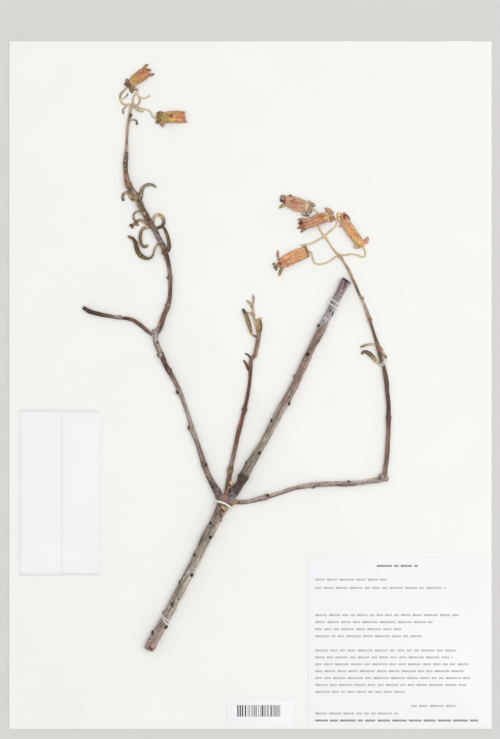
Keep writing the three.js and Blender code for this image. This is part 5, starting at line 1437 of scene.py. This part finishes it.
def lay_stalks(stalks, slim=1.0, forks=()):
    """Fuses pedicels, and knuckles where they fork, into one mesh."""
    parts = []
    for i, (points, foot, far) in enumerate(stalks):
        parts.append(lay_stalk(slimmed(points, slim), foot, far, STALK_HEIGHT, STALK_SIDES,
                               STALK_SEEDS + i))
    for i, (x, y, width, tone) in enumerate(forks):
        parts.append(dome(x, y, width, width * FORK_HEIGHT, tone, FORK_SEEDS + i))
    whole = fuse(parts) if len(parts) > 1 else parts[0]
    rest_on_paper(whole)
    return whole


make_piece("left_pedicels", lay_stalks(LEFT_STALK), stalk_material, "flower_stalk",
           "left_flower_stalk")
make_piece("left_dry_bract", lay_stalks(LEFT_BRACT), stalk_material, "flower_stalk",
           "left_flower_bract")
make_piece("right_pedicels", lay_stalks(RIGHT_STALK, RIGHT_STALK_SLIM, RIGHT_FORKS), stalk_material,
           "flower_stalk", "right_flower_stalk")

# %% [markdown]
# # Flowers
# Each pressed flower is a flat papery tube with an open mouth. Narrow lobes come out of it, and a crumpled
# calyx of sepals holds it. The tube is a cylinder without caps: flattened, pleated along its length,
# waved at the rim and given a wall. Anthers are dark lumpy grains on thin filaments.

# %% The flowers' routes and tones
# Each sepal, lobe and filament: its points, then its tones. A strip has one tone for its middle, one for
# both edges and maybe one for its tip, or a list of stops as a leaf has. Spots are stamps, and so are the
# sepals' folds: painted shade in their creases and painted highlights on their ridges, with some dark
# patches of the sepals' own.
FLOWERS = {
    "flower_top": {
        "base": [-73.7, 183.4, 4, "#8A6850"],
        "sepals": [
            ([[-73.6, 184, 3], [-75, 185.2, 2.7], [-75.4, 187, 1.2]], "#A68A7C", "#6A4F4E", "#A09096"),
            ([[-73.8, 184, 3.2], [-75.6, 183.8, 2.8], [-77, 183.2, 1.6]], "#7A5C4C", "#5F463E"),
            ([[-73.3, 182.6, 2.6], [-72.5, 180.6, 2.8], [-72, 178.1, 2.5]], "#B08E70", "#80664E",
             "#57503C"),
            ([[-72.8, 182.4, 2.2], [-70.9, 180.9, 1.9], [-68.9, 180.2, 1.1]], "#AE8C6C", "#80664A"),
        ],
        "tube": [
            [-73, 183.6, 4], [-72, 184.3, 4.9], [-70.2, 186, 6.6], [-67.2, 188.1, 7.2], [-64.6, 190.1, 6.9],
            [-62.9, 191.2, 5.4],
        ],
        "tones": ["#BA9672", "#B8926A", "#B88C5E", "#A87858", "#B07E5E", "#AC7858"],
        "lobes": [
            ([[-65, 192.3, 2.4], [-63.9, 194.6, 1.9], [-62.2, 195.5, 1.2]], "#A88C66", "#8C7656"),
            ([[-63.6, 191.6, 2.2], [-61.9, 192.3, 1.6], [-60.4, 191.6, 1.1]], "#B0704E", "#985F46",
             "#A08058"),
            ([[-63, 189.4, 2.6], [-60.4, 189.2, 1.9], [-58.5, 189.9, 1.2]], "#C08866", "#A07458",
             "#9A7C60"),
        ],
        "fold_shading_and_patches": [
            [-76.1, 184.6, 0.7, "#4A3434", 0.8], [-74.5, 185.9, 0.7, "#8A7A84", 0.6],
            [-76.5, 183, 0.6, "#4F3A36", 0.7], [-72.4, 179.9, 0.9, "#4A3F30", 0.7],
            [-73.9, 182.2, 0.5, "#6A4C38", 0.4],
        ],
        "spots": [
            [-64.7, 190.6, 1.1, "#BC6448", 0.45], [-65.4, 188.4, 1, "#C48464", 0.4],
            [-71, 185, 1.3, "#A08A3F", 0.5], [-68.4, 184.6, 1, "#94743C", 0.5],
            [-66, 186, 1, "#96703C", 0.5], [-70, 188.4, 0.9, "#96703C", 0.4],
            [-65, 192.2, 0.7, "#8A5A3C", 0.5],
        ],
    },
    "flower_upper_left": {
        "base": [-55, 163.2, 4.6, "#9A805E"],
        "sepals": [
            ([[-53.4, 165, 3.4], [-55.5, 165.5, 3.2], [-57.3, 165.6, 2.4]], "#9C8468", "#7C654C",
             "#B09270"),
            ([[-54.6, 162.4, 3.6], [-56, 161, 3.2], [-57.5, 159.7, 2.2]], "#82684A", "#8A7252", "#6A5440"),
            ([[-54.4, 161.6, 3.2], [-53.9, 159.6, 2.8], [-53.2, 157.4, 1.2]], "#A88C64", "#866E50",
             "#94806A"),
            ([[-53.9, 161.6, 2.2], [-52.3, 160.1, 1.8], [-51.4, 159, 1.1]], "#C0A278", "#A08664",
             "#CBB594"),
        ],
        "tube": [
            [-54.4, 163, 4.8], [-52, 163.2, 6.4], [-48, 163.4, 7.3], [-44, 163.5, 7.5], [-41.6, 163.6, 7],
            [-40.3, 163.8, 5.4],
        ],
        "tones": ["#988258", "#A38C5A", "#BA9462", "#BE9665", "#C08A64", "#B07A5A"],
        "lobes": [
            ([[-42.4, 161, 2.2], [-40.2, 160.6, 1.6], [-38.4, 160.5, 1.1]], "#C6A07C", "#A6845E",
             "#A08A72"),
            ([[-42, 165.6, 2.4], [-40.4, 166.1, 1.8], [-39.3, 165.9, 1.1]], "#C4956A", "#9F7E58",
             "#C4AE90"),
            ([[-41.8, 163.4, 2.6], [-40.4, 162.9, 2.2], [-39.4, 162.6, 1.2]], "#C97F5A", "#9A5F42"),
        ],
        "fold_shading_and_patches": [
            [-56.2, 162.9, 0.7, "#5F4430", 0.8], [-55, 164.4, 0.6, "#B09A7C", 0.6],
            [-56.4, 160.6, 0.7, "#5A432E", 0.8], [-54.2, 160.4, 0.6, "#6A523A", 0.7],
            [-53.2, 163.4, 0.6, "#A8926F", 0.6],
        ],
        "spots": [
            [-48.2, 163.8, 0.9, "#70491F", 0.9, -0.1], [-48.4, 162.9, 0.6, "#8A6A35", 0.5],
            [-44.4, 165.8, 1.6, "#AE8E4A", 0.6], [-42.8, 163.4, 2.2, "#BE7C5C", 0.45],
            [-40.6, 166.3, 0.8, "#8A5A3C", 0.6], [-40.7, 161.6, 0.9, "#9A5F40", 0.5],
            [-46, 160.6, 1.3, "#A8824C", 0.5], [-50.5, 165.6, 1.2, "#94805A", 0.5],
            [-50.8, 160.8, 1.2, "#8F7748", 0.5],
        ],
    },
    "flower_right_high": {
        "base": [35.8, 108.3, 4.4, "#A39A88"],
        "sepals": [
            ([[35.9, 109.1, 3.2], [37.5, 110, 3.2], [39.5, 109.3, 2.4]], "#C0AC94", "#8F7A68", "#94867A"),
            ([[35.2, 110.2, 2.2], [35.9, 111.4, 1.8], [36.2, 112.6, 1.1]], "#B4A080", "#8F7E64", "#C4B69C"),
            ([[35.6, 107.6, 4.4], [35.3, 105.4, 4.8], [35.2, 103.4, 3.3]], [(0, "#A48E84", "#D2B8A4"),
              (0.5, "#94807C", "#AA928A"), (1, "#AA948E", "#C4ACA6")]),
            ([[35.4, 103.8, 2], [33.4, 103.5, 1.2], [31.2, 104.4, 0.9]], "#9A8074", "#74605A"),
        ],
        "tube": [
            [35, 108, 5.4], [32.8, 108.8, 7], [29, 110, 8.1], [25.2, 111.4, 7.2], [22.3, 112.5, 5.6],
            [20.8, 112.9, 4.2],
        ],
        "tones": ["#D0B8A0", "#BC9A80", "#C0957B", "#AE886E", "#B48F77", "#B88A72"],
        "lobes": [
            ([[22.6, 113.8, 2.4], [20.2, 115.1, 1.8], [18.1, 115, 1.1]], "#CBAC96", "#A88A74", "#84705F"),
            ([[23, 110.9, 2.6], [20, 109.5, 2.3], [18.5, 108.7, 1.7], [17.6, 107.7, 1]], "#DABE9E",
             "#B09878", "#94906F"),
        ],
        "anthers": [
            [19, 112.4, 1.7, "#3A1F18"], [20.8, 112.1, 1.6, "#4F2A1C"], [18.6, 113.5, 1.4, "#94705A"],
            [24.3, 115.3, 1.9, "#6A5E4A"],
        ],
        "fold_shading_and_patches": [
            [37, 109, 0.7, "#8A7668", 0.7], [35.4, 104.6, 0.8, "#8F7C7A", 0.6],
            [36.6, 106.8, 0.7, "#C4B09C", 0.6], [34.6, 106.4, 0.5, "#7A6660", 0.7],
        ],
        "spots": [
            [24.4, 111.7, 0.6, "#8A4A34", 0.7], [25.8, 111.4, 0.6, "#8A4A34", 0.7, -0.1],
            [27.2, 111, 0.6, "#8A4A34", 0.7, -0.1], [28, 110.6, 0.5, "#7F4230", 0.6],
            [29.4, 112.8, 1, "#C78870", 0.5], [30, 107.4, 1.2, "#C78A6C", 0.5],
            [32.8, 106.6, 0.9, "#8F7F66", 0.5], [33, 111, 0.9, "#9C8A70", 0.5],
            [20.7, 111.3, 0.7, "#74482F", 0.6], [21.3, 114.5, 0.8, "#D8BCA6", 0.6],
            [20.2, 115.1, 0.8, "#DCC4B2", 0.8], [20.8, 112.2, 0.6, "#3F2A1C", 0.85],
        ],
    },
    "flower_right_middle": {
        "base": [48.5, 102.9, 4.2, "#B89C7C"],
        "sepals": [
            ([[48.2, 104, 3.2], [47.8, 106.2, 3.2], [46.7, 107.2, 2.2], [45.4, 107.9, 1]], "#CCA688",
             "#A47E64", "#C8A082"),
            ([[49, 103.8, 2.2], [50, 104.9, 1.9], [50.3, 106.2, 1.2]], "#C09C86", "#9C7662", "#CCAC9A"),
            ([[49.2, 102.8, 2.3], [50.9, 102, 1.8], [51.9, 100.9, 1.2]], "#CCA682", "#947A60", "#A07A50"),
            ([[48.9, 102, 2.3], [49.8, 100.6, 1.9], [48.6, 99.3, 1.2]], [(0, "#A87868", "#D0A488"),
              (1, "#965F4E", "#C48E78")]),
        ],
        "tube": [
            [47.8, 102.6, 4.8, 0.6], [45.5, 102, 5.6, 1], [42, 101, 6.2, 1.3], [38.2, 99.5, 6, 1.1],
            [35.2, 98.5, 5.7, 0.5], [33, 98.2, 6.3, 0], [31.6, 98.2, 5.2, 0],
        ],
        "tones": ["#C6A484", "#B28662", "#BC8E74", "#BC8E76", "#C2947A", "#B4846C"],
        "lobes": [
            ([[33.8, 100.6, 2.2], [31.2, 101.2, 1.8], [28.8, 100.8, 1.1]], "#D8AE92", "#A8826C", "#A08470"),
            ([[32.6, 97, 2.4], [30.2, 96.1, 1.8], [28.5, 95.5, 1]], "#9A6450", "#75463A", "#B08C70"),
            ([[33.8, 96, 2.5], [32.2, 94.5, 2.1], [30.8, 93, 1.1]], "#B08A70", "#8A6A56", "#84705F"),
        ],
        "anthers": [
            [30.8, 99.5, 1.7, "#8E5C3C"], [29.7, 98.6, 1.3, "#805040"], [30.9, 97.8, 1.5, "#9A6452"],
        ],
        "fold_shading_and_patches": [
            [48.4, 105, 0.7, "#A87C60", 0.6], [49.6, 102.6, 0.6, "#7A6450", 0.7],
            [47.4, 103.2, 0.7, "#D0B494", 0.6], [49.4, 100.8, 0.6, "#94584A", 0.6],
        ],
        "spots": [
            [43.5, 102.3, 1.2, "#B5653C", 0.9], [41.6, 102.4, 1, "#B87A58", 0.5],
            [32.6, 96.9, 0.8, "#6F3A2C", 0.5, -0.1], [31.9, 95.9, 0.9, "#8F4536", 0.7],
            [33.6, 99.4, 0.8, "#9A6A4A", 0.6], [45.6, 104, 0.6, "#B5A070", 0.5],
            [46.8, 102.6, 0.5, "#8A7A4C", 0.6], [45.2, 100.8, 0.5, "#8A7A4C", 0.5],
            [47.9, 100.9, 0.8, "#DCBE9C", 0.6],
        ],
    },
    "flower_right_low": {
        "base": [67.6, 86.2, 4.2, "#D59F78"],
        "sepals": [
            ([[68.2, 87, 3.2], [70.3, 87.6, 2.8], [71.3, 88.8, 1.9], [71.7, 90.5, 1]], "#D8A286", "#B4826A",
             "#A48A78"),
            ([[69.4, 87.4, 2.4], [70.6, 87.2, 2.2], [71.7, 86.6, 1.4]], "#DAA68C", "#B4866E"),
            ([[67, 85.4, 3], [65.2, 84.6, 2.7], [62.9, 84, 1.4]], "#D6AE80", "#B0926A", "#B5B08C"),
            ([[67.4, 85.4, 2.6], [66.9, 84.4, 2.4], [66.4, 83.6, 1.6]], "#D89C74", "#BC8464"),
        ],
        "tube": [
            [67, 85.9, 4.6], [65.8, 87.8, 5.6], [64, 90.4, 5.9], [61.5, 93.8, 6], [59.6, 96.6, 5.6],
            [58, 99.3, 5.2], [57.1, 101.6, 4.6], [56.9, 103, 3.6],
        ],
        "tones": ["#D2A67C", "#BE9466", "#BE9062", "#CE9E72", "#CEA07C", "#C6987C", "#A8745E"],
        "lobes": [
            ([[57.8, 101.4, 3], [57.7, 103.6, 2.6], [57.1, 105.4, 1.3]], "#B87C64", "#864E42", "#CC9080"),
            ([[57.4, 102.9, 2], [58.9, 102.6, 2.3], [59.8, 101.3, 2], [60.1, 99.8, 1.1]], "#744A40",
             "#5E3C38", "#A07C64"),
            ([[56.9, 100.6, 3.2], [56.2, 103.2, 3], [56.1, 105, 1.6]],
             [(0, "#A87C60", "#DDAA90", "#C48C74"), (1, "#8C5C48", "#D8A48C", "#C49480")]),
            ([[57.6, 98.6, 2.8], [55.6, 97.6, 2.3], [54.2, 96.4, 1.3]], "#E8C2AE", "#B88E7C", "#B48A70"),
            ([[57.2, 98.8, 3.2], [55, 100.6, 3.2], [54, 103, 3], [53.9, 105.4, 2.2]],
             [(0, "#CCA684", "#DCAE90", "#C49A7C"), (0.5, "#B89E74", "#DCC094", "#BC9E7C"),
              (1, "#B5A26C", "#DEC890", "#A08F66")]),
        ],
        "anthers": [[57.7, 103.1, 2.2, "#5F1F18"], [59.2, 101.6, 1.4, "#5A3A38"]],
        "fold_shading_and_patches": [
            [67.2, 86.6, 0.7, "#C08A66", 0.6], [69, 86.4, 0.6, "#B88468", 0.6],
            [65.6, 85, 0.7, "#C4AC78", 0.6],
        ],
        "spots": [
            [64, 86.6, 1.4, "#C0B070", 0.6], [62.6, 88.6, 1.1, "#C8AE6E", 0.5], [61, 92, 1, "#CC9C5C", 0.5],
            [62.6, 97.4, 0.8, "#B07A50", 0.5], [64.8, 94.2, 0.7, "#A87C54", 0.5],
            [60.4, 97, 1, "#CC8058", 0.4], [57, 101.4, 0.8, "#8A3428", 0.7],
            [55.6, 100.6, 0.4, "#7A5A40", 0.6], [60.6, 97.8, 0.7, "#A87A58", 0.5],
            [57.7, 103.1, 0.8, "#6A3424", 0.7], [59.2, 101.6, 0.6, "#8A5A48", 0.7],
        ],
    },
    "flower_right_bottom": {
        "base": [33.4, 80.5, 4.6, "#B58C66"],
        "sepals": [
            ([[32.8, 82, 3.2], [33, 83.6, 2.8], [34.6, 84.2, 1.6]], "#B08A64", "#84684A", "#7C6F4C"),
            ([[33.8, 81.2, 2.6], [34.4, 82.4, 2.1], [35, 83.1, 1.4]], "#C4A080", "#94765A"),
            ([[33.4, 79.6, 3.6], [34.7, 79, 3.2], [36, 78.4, 2]], "#B48C66", "#8A7048", "#A08058"),
        ],
        "tube": [
            [33.8, 80.8, 5.6], [32, 80.2, 6.9], [29, 79.1, 7.2], [25, 77.3, 7.2], [21.5, 75.4, 7],
            [19.2, 74.5, 6], [17.9, 74.2, 4.4],
        ],
        "tones": ["#BC946C", "#C49A72", "#BE8F6A", "#CA9674", "#CC9678", "#C48C72", "#B47E66"],
        "lobes": [
            ([[18.8, 76.2, 2], [17.2, 77, 1.6], [16.7, 79.4, 1.5], [16.9, 82.3, 1.2]], "#B89884", "#8F7564",
             "#A89484"),
            ([[19.8, 73, 2.2], [19.2, 71, 1.7], [18.3, 69, 1.5], [17.5, 66.6, 1]], "#B0907A", "#8A705A",
             "#A89078"),
            ([[18.6, 73.6, 2.4], [17.2, 72.8, 2], [16.4, 71.6, 1.4]], "#D0A488", "#AC8868"),
        ],
        "anthers": [
            [17.6, 74.3, 1.8, "#946850"], [14.9, 71.9, 1.5, "#7A5F42"], [15.8, 70.5, 1.4, "#6A5638"],
            [16.1, 72.8, 1.2, "#A88C6C"], [14.3, 73.8, 1.6, "#7E6E60"],
        ],
        "filaments": [
            ([[17.4, 74.2, 0.8], [15.8, 74, 0.6], [14.3, 73.8, 0.8]], "#E0C8AA", "#C4AC8C"),
            ([[16.4, 72.4, 1], [15.2, 71.6, 1]], "#A08A62", "#8A7350"),
        ],
        "fold_shading_and_patches": [
            [33.6, 82.6, 0.7, "#7A5F42", 0.7], [32.4, 80.4, 0.7, "#8F7048", 0.6],
            [34.2, 80.2, 0.6, "#CDA882", 0.6], [34.6, 78.4, 0.6, "#8A6A48", 0.7],
        ],
        "spots": [
            [20.4, 76.2, 1.1, "#A05A48", 0.3], [22.6, 73.2, 1.2, "#9C6C4E", 0.6],
            [18.5, 74.5, 0.8, "#6F3428", 0.45], [24.8, 74.2, 1, "#A8684A", 0.5],
            [28, 78, 0.9, "#D8A468", 0.5], [26, 77, 0.9, "#D8A468", 0.5], [30.6, 82.2, 0.8, "#9A7A50", 0.5],
            [31, 77.8, 0.9, "#B08A4C", 0.5],
        ],
    },
}
print("flowers:", len(FLOWERS))

# %% Tubes, lobes and anthers
TUBE_HEIGHT = 2.25
TUBE_SIDES = 48
TUBE_STEP = 0.35
PLEAT_MM = 0.28
PLEAT_RUN = (12.0, 1.8)
PLEAT_SHADE = 0.25
VEIN_MM = 0.1
VEIN_RUN = (9.0, 0.6)
VEIN_SHADE = 0.6
TUBE_MIDDLE = 1.04
TUBE_EDGE = 0.4
RIM_WAVE = 0.55
RIM_WAVES = 4
RIM_LENGTH = 2.5
LOBE_HEIGHT = 0.75
SEPAL_HEIGHT = 1.35
CALYX_HEIGHT = 2.5
ANTHER_HEIGHT = 1.5
FILAMENT_HEIGHT = 0.8
FILAMENT_SIDES = 10
FLOWER_SEEDS = 200
SEEDS_PER_FLOWER = 20
LOBE_SEEDS = 6
ANTHER_SEEDS = 10
FILAMENT_SEEDS = 15


def petal_skin(tones, length):
    """The skin of a papery tube: soft pleats and fine veins, and paint along it."""
    paint = Tones([(length * i / (len(tones) - 1), tone) for i, tone in enumerate(tones)])

    def skin(distance, y, z, width, seed):
        place = (distance, y * (width / 2), z * (width / 2))
        pleats = stream(*place, PLEAT_RUN, seed)
        veins = stream(*place, VEIN_RUN, seed + 1)
        shade = TUBE_MIDDLE + PLEAT_SHADE * pleats + VEIN_SHADE * veins
        edge = 1 - TUBE_EDGE * abs(y) ** 10
        return PLEAT_MM * pleats + VEIN_MM * veins, paint.at(distance) * shade * edge
    return skin


def lay_tube(points, tones, seed):
    """A flattened papery tube along a route, open at its wavy mouth."""
    route = Route(points)
    skin = petal_skin(tones, route.length)
    bm = straight_bar(route.length, TUBE_STEP, TUBE_SIDES, capped=False)
    layers = new_layers(bm)
    for vert in bm.verts:
        distance, y, z = vert.co
        mouth = max(0.0, 1 - (route.length - distance) / RIM_LENGTH)
        distance += RIM_WAVE * mouth * math.cos(RIM_WAVES * math.atan2(z, y) + seed)
        bend_round(vert, layers, route, distance, TUBE_HEIGHT, 0, skin, seed, WALL)
    thicken(bm, WALL)
    return bm


def lay_petals(strips, height, seed):
    """The sepals or the lobes of a flower."""
    parts = []
    for i, (points, *tones) in enumerate(strips):
        if isinstance(tones[0], list):
            stops = tones[0]
        else:
            middle, edge, *tip = tones
            stops = [(0, edge, middle), (1, edge, *(tip or [middle]))]
        parts.append(lay_strip(points, stops, height, SEPAL_ROLL, True, seed + i))
    return parts


def finish_flower(name, parts, stamps, material, slot, node):
    """Joins a flower's parts of one colour, stamps them and makes them a piece."""
    bm = join(parts)
    rest_on_paper(bm)
    stamp(bm, stamps)
    make_piece(name, bm, material, slot, node)


for number, (flower, form) in enumerate(FLOWERS.items()):
    seed = FLOWER_SEEDS + SEEDS_PER_FLOWER * number
    x, y, width, tone = form["base"]
    parts = [dome(x, y, width, CALYX_HEIGHT, tone, seed, relief_mm=0.6)]
    parts += lay_petals(form["sepals"], SEPAL_HEIGHT, seed)
    # The sepals' fold stamps are painted shade and painted highlight, with some dark patches of their own
    finish_flower(f"{flower}_sepals", parts, form["fold_shading_and_patches"], calyx_material, "dried_calyx",
                  f"{flower}_calyx")
    parts = [lay_tube(form["tube"], form["tones"], seed)]
    parts += lay_petals(form["lobes"], LOBE_HEIGHT, seed + LOBE_SEEDS)
    for i, (x, y, width, tone) in enumerate(form.get("anthers", ())):
        parts.append(dome(x, y, width, ANTHER_HEIGHT, tone, seed + ANTHER_SEEDS + i, relief_mm=0.2))
    for i, (points, foot, far) in enumerate(form.get("filaments", ())):
        parts.append(lay_stalk(points, foot, far, FILAMENT_HEIGHT, FILAMENT_SIDES,
                               seed + FILAMENT_SEEDS + i))
    finish_flower(f"{flower}_petals", parts, form["spots"], petal_material, "dried_petal",
                  f"{flower}_corolla")

# %% [markdown]
# # Thread ties
# White linen thread holds the wood down: it comes up through the paper, lies tight over the stem and goes
# down again. Its path is found as a stretched string finds it: heights are measured over the bark, and the
# string touches only the highest ones. Three thin plies twist round that path.

# %% Stretch the threads over the bark
THREAD_STEP = 0.3
PLY_RADIUS = 0.165
PLY_OFFSET = 0.15
PLY_SIDES = 10
PLY_STEP = 0.12
PLIES = 3
TWIST_MM = 1.5
FUZZ_MM = 0.12
THREAD_END = 0.05
THREAD_RADIUS = PLY_RADIUS + PLY_OFFSET
PROBE_HEIGHT = 50
# Each tie: where it comes up, where it goes down, how far it bows sideways, and its thickness
TIES = {
    "tie_base_upper": ((-54.3, -139.2), (-48.9, -144.3), 0, 1.0),
    "tie_base_lower": ((-54.6, -140.0), (-49.9, -146.3), 0, 1.0),
    "tie_fork": ((-22.1, -70.3), (-10.9, -75.6), 1.5, 1.8),
    "tie_stem_upper": ((47.8, 53.6), (55.0, 48.2), 0, 1.1),
    "tie_stem_lower": ((46.5, 50.9), (53.8, 45.6), 0, 1.1),
    "tie_shoot_upper": ((78.2, 11.7), (83.6, 16), 0, 1.0),
    "tie_shoot_lower": ((78.9, 10.8), (84.3, 15.1), 0, 1.0),
}

linen, tree, shader = start_material("bleached_linen_thread", 0.8, sheen=0.3)
fuzz = noise_in_mm(tree, FUZZ_MM, 3.0)
link_looks(tree, shader, mix_tones(tree, fuzz, "#FBFAF6", "#EDEBE4"), fuzz, relief_mm=0.03)


def bark_heights(spots, across, radius):
    """How high the middle of a thread has to be to clear the bark at each spot."""
    heights = []
    for spot in spots:
        around = []
        for offset in (-radius, 0, radius):
            above = Vector((*(spot + across * offset), PROBE_HEIGHT))
            hit = bark_tree.ray_cast(above, Vector((0, 0, -1)))[0]
            around.append(hit.z if hit else PAPER_TOP)
        heights.append(max(around) + radius)
    return heights


def touched(heights):
    """The spots that a tight string touches: it turns only downwards."""
    hull = [0]
    for i in range(1, len(heights)):
        while len(hull) > 1:
            a, b = hull[-2:]
            rise = (heights[b] - heights[a]) * (i - a) - (heights[i] - heights[a]) * (b - a)
            if rise > 0:
                break
            hull.pop()
        hull.append(i)
    return hull


def stretched_string(start, end, bow, radius):
    """The places of a tight string over the bark, from one hole in the paper to the other."""
    start, end = Vector(start), Vector(end)
    side = Vector((start.y - end.y, end.x - start.x)).normalized()
    count = round((end - start).length / THREAD_STEP)
    spots = []
    for i in range(count + 1):
        share = i / count
        spots.append(start.lerp(end, share) + side * bow * math.sin(math.pi * share))
    heights = bark_heights(spots, (end - start).normalized().orthogonal(), radius)
    heights[0] = heights[-1] = PAPER_TOP - radius
    hull = touched(heights)
    places = []
    for a, b in zip(hull, hull[1:]):
        for i in range(a, b):
            z = heights[a] + (heights[b] - heights[a]) * (i - a) / (b - a)
            places.append(Vector((*spots[i], z)))
    places.append(Vector((*spots[-1], heights[-1])))
    return places


def lay_thread(places, scale):
    """Three plies twisted round a path."""
    distances = [0.0]
    for before, after in zip(places, places[1:]):
        distances.append(distances[-1] + (after - before).length)
    plies = []
    for ply in range(PLIES):
        bm = straight_bar(distances[-1], PLY_STEP, PLY_SIDES)
        for vert in bm.verts:
            distance, y, z = vert.co
            i = min(max(bisect(distances, distance) - 1, 0), len(places) - 2)
            share = (distance - distances[i]) / (distances[i + 1] - distances[i])
            ahead = places[min(i + 3, len(places) - 1)] - places[max(i - 2, 0)]
            side = Vector((-ahead.y, ahead.x, 0)).normalized()
            over = ahead.normalized().cross(side)
            turn = 2 * math.pi * (distance / (TWIST_MM * scale) + ply / PLIES)
            sideways = (y * PLY_RADIUS + PLY_OFFSET * math.cos(turn)) * scale
            upward = (z * PLY_RADIUS + PLY_OFFSET * math.sin(turn)) * scale
            vert.co = places[i].lerp(places[i + 1], share) + side * sideways + over * upward
            vert.co.z = max(vert.co.z, THREAD_END)
        plies.append(bm)
    return join(plies, painted=False)


for tie, (start, end, bow, scale) in TIES.items():
    string = stretched_string(start, end, bow, THREAD_RADIUS * scale)
    print(f"{tie}: highest at {max(p.z for p in string):.2f} mm")
    make_piece(f"{tie}_twisted", lay_thread(string, scale), linen, "linen_thread", tie)
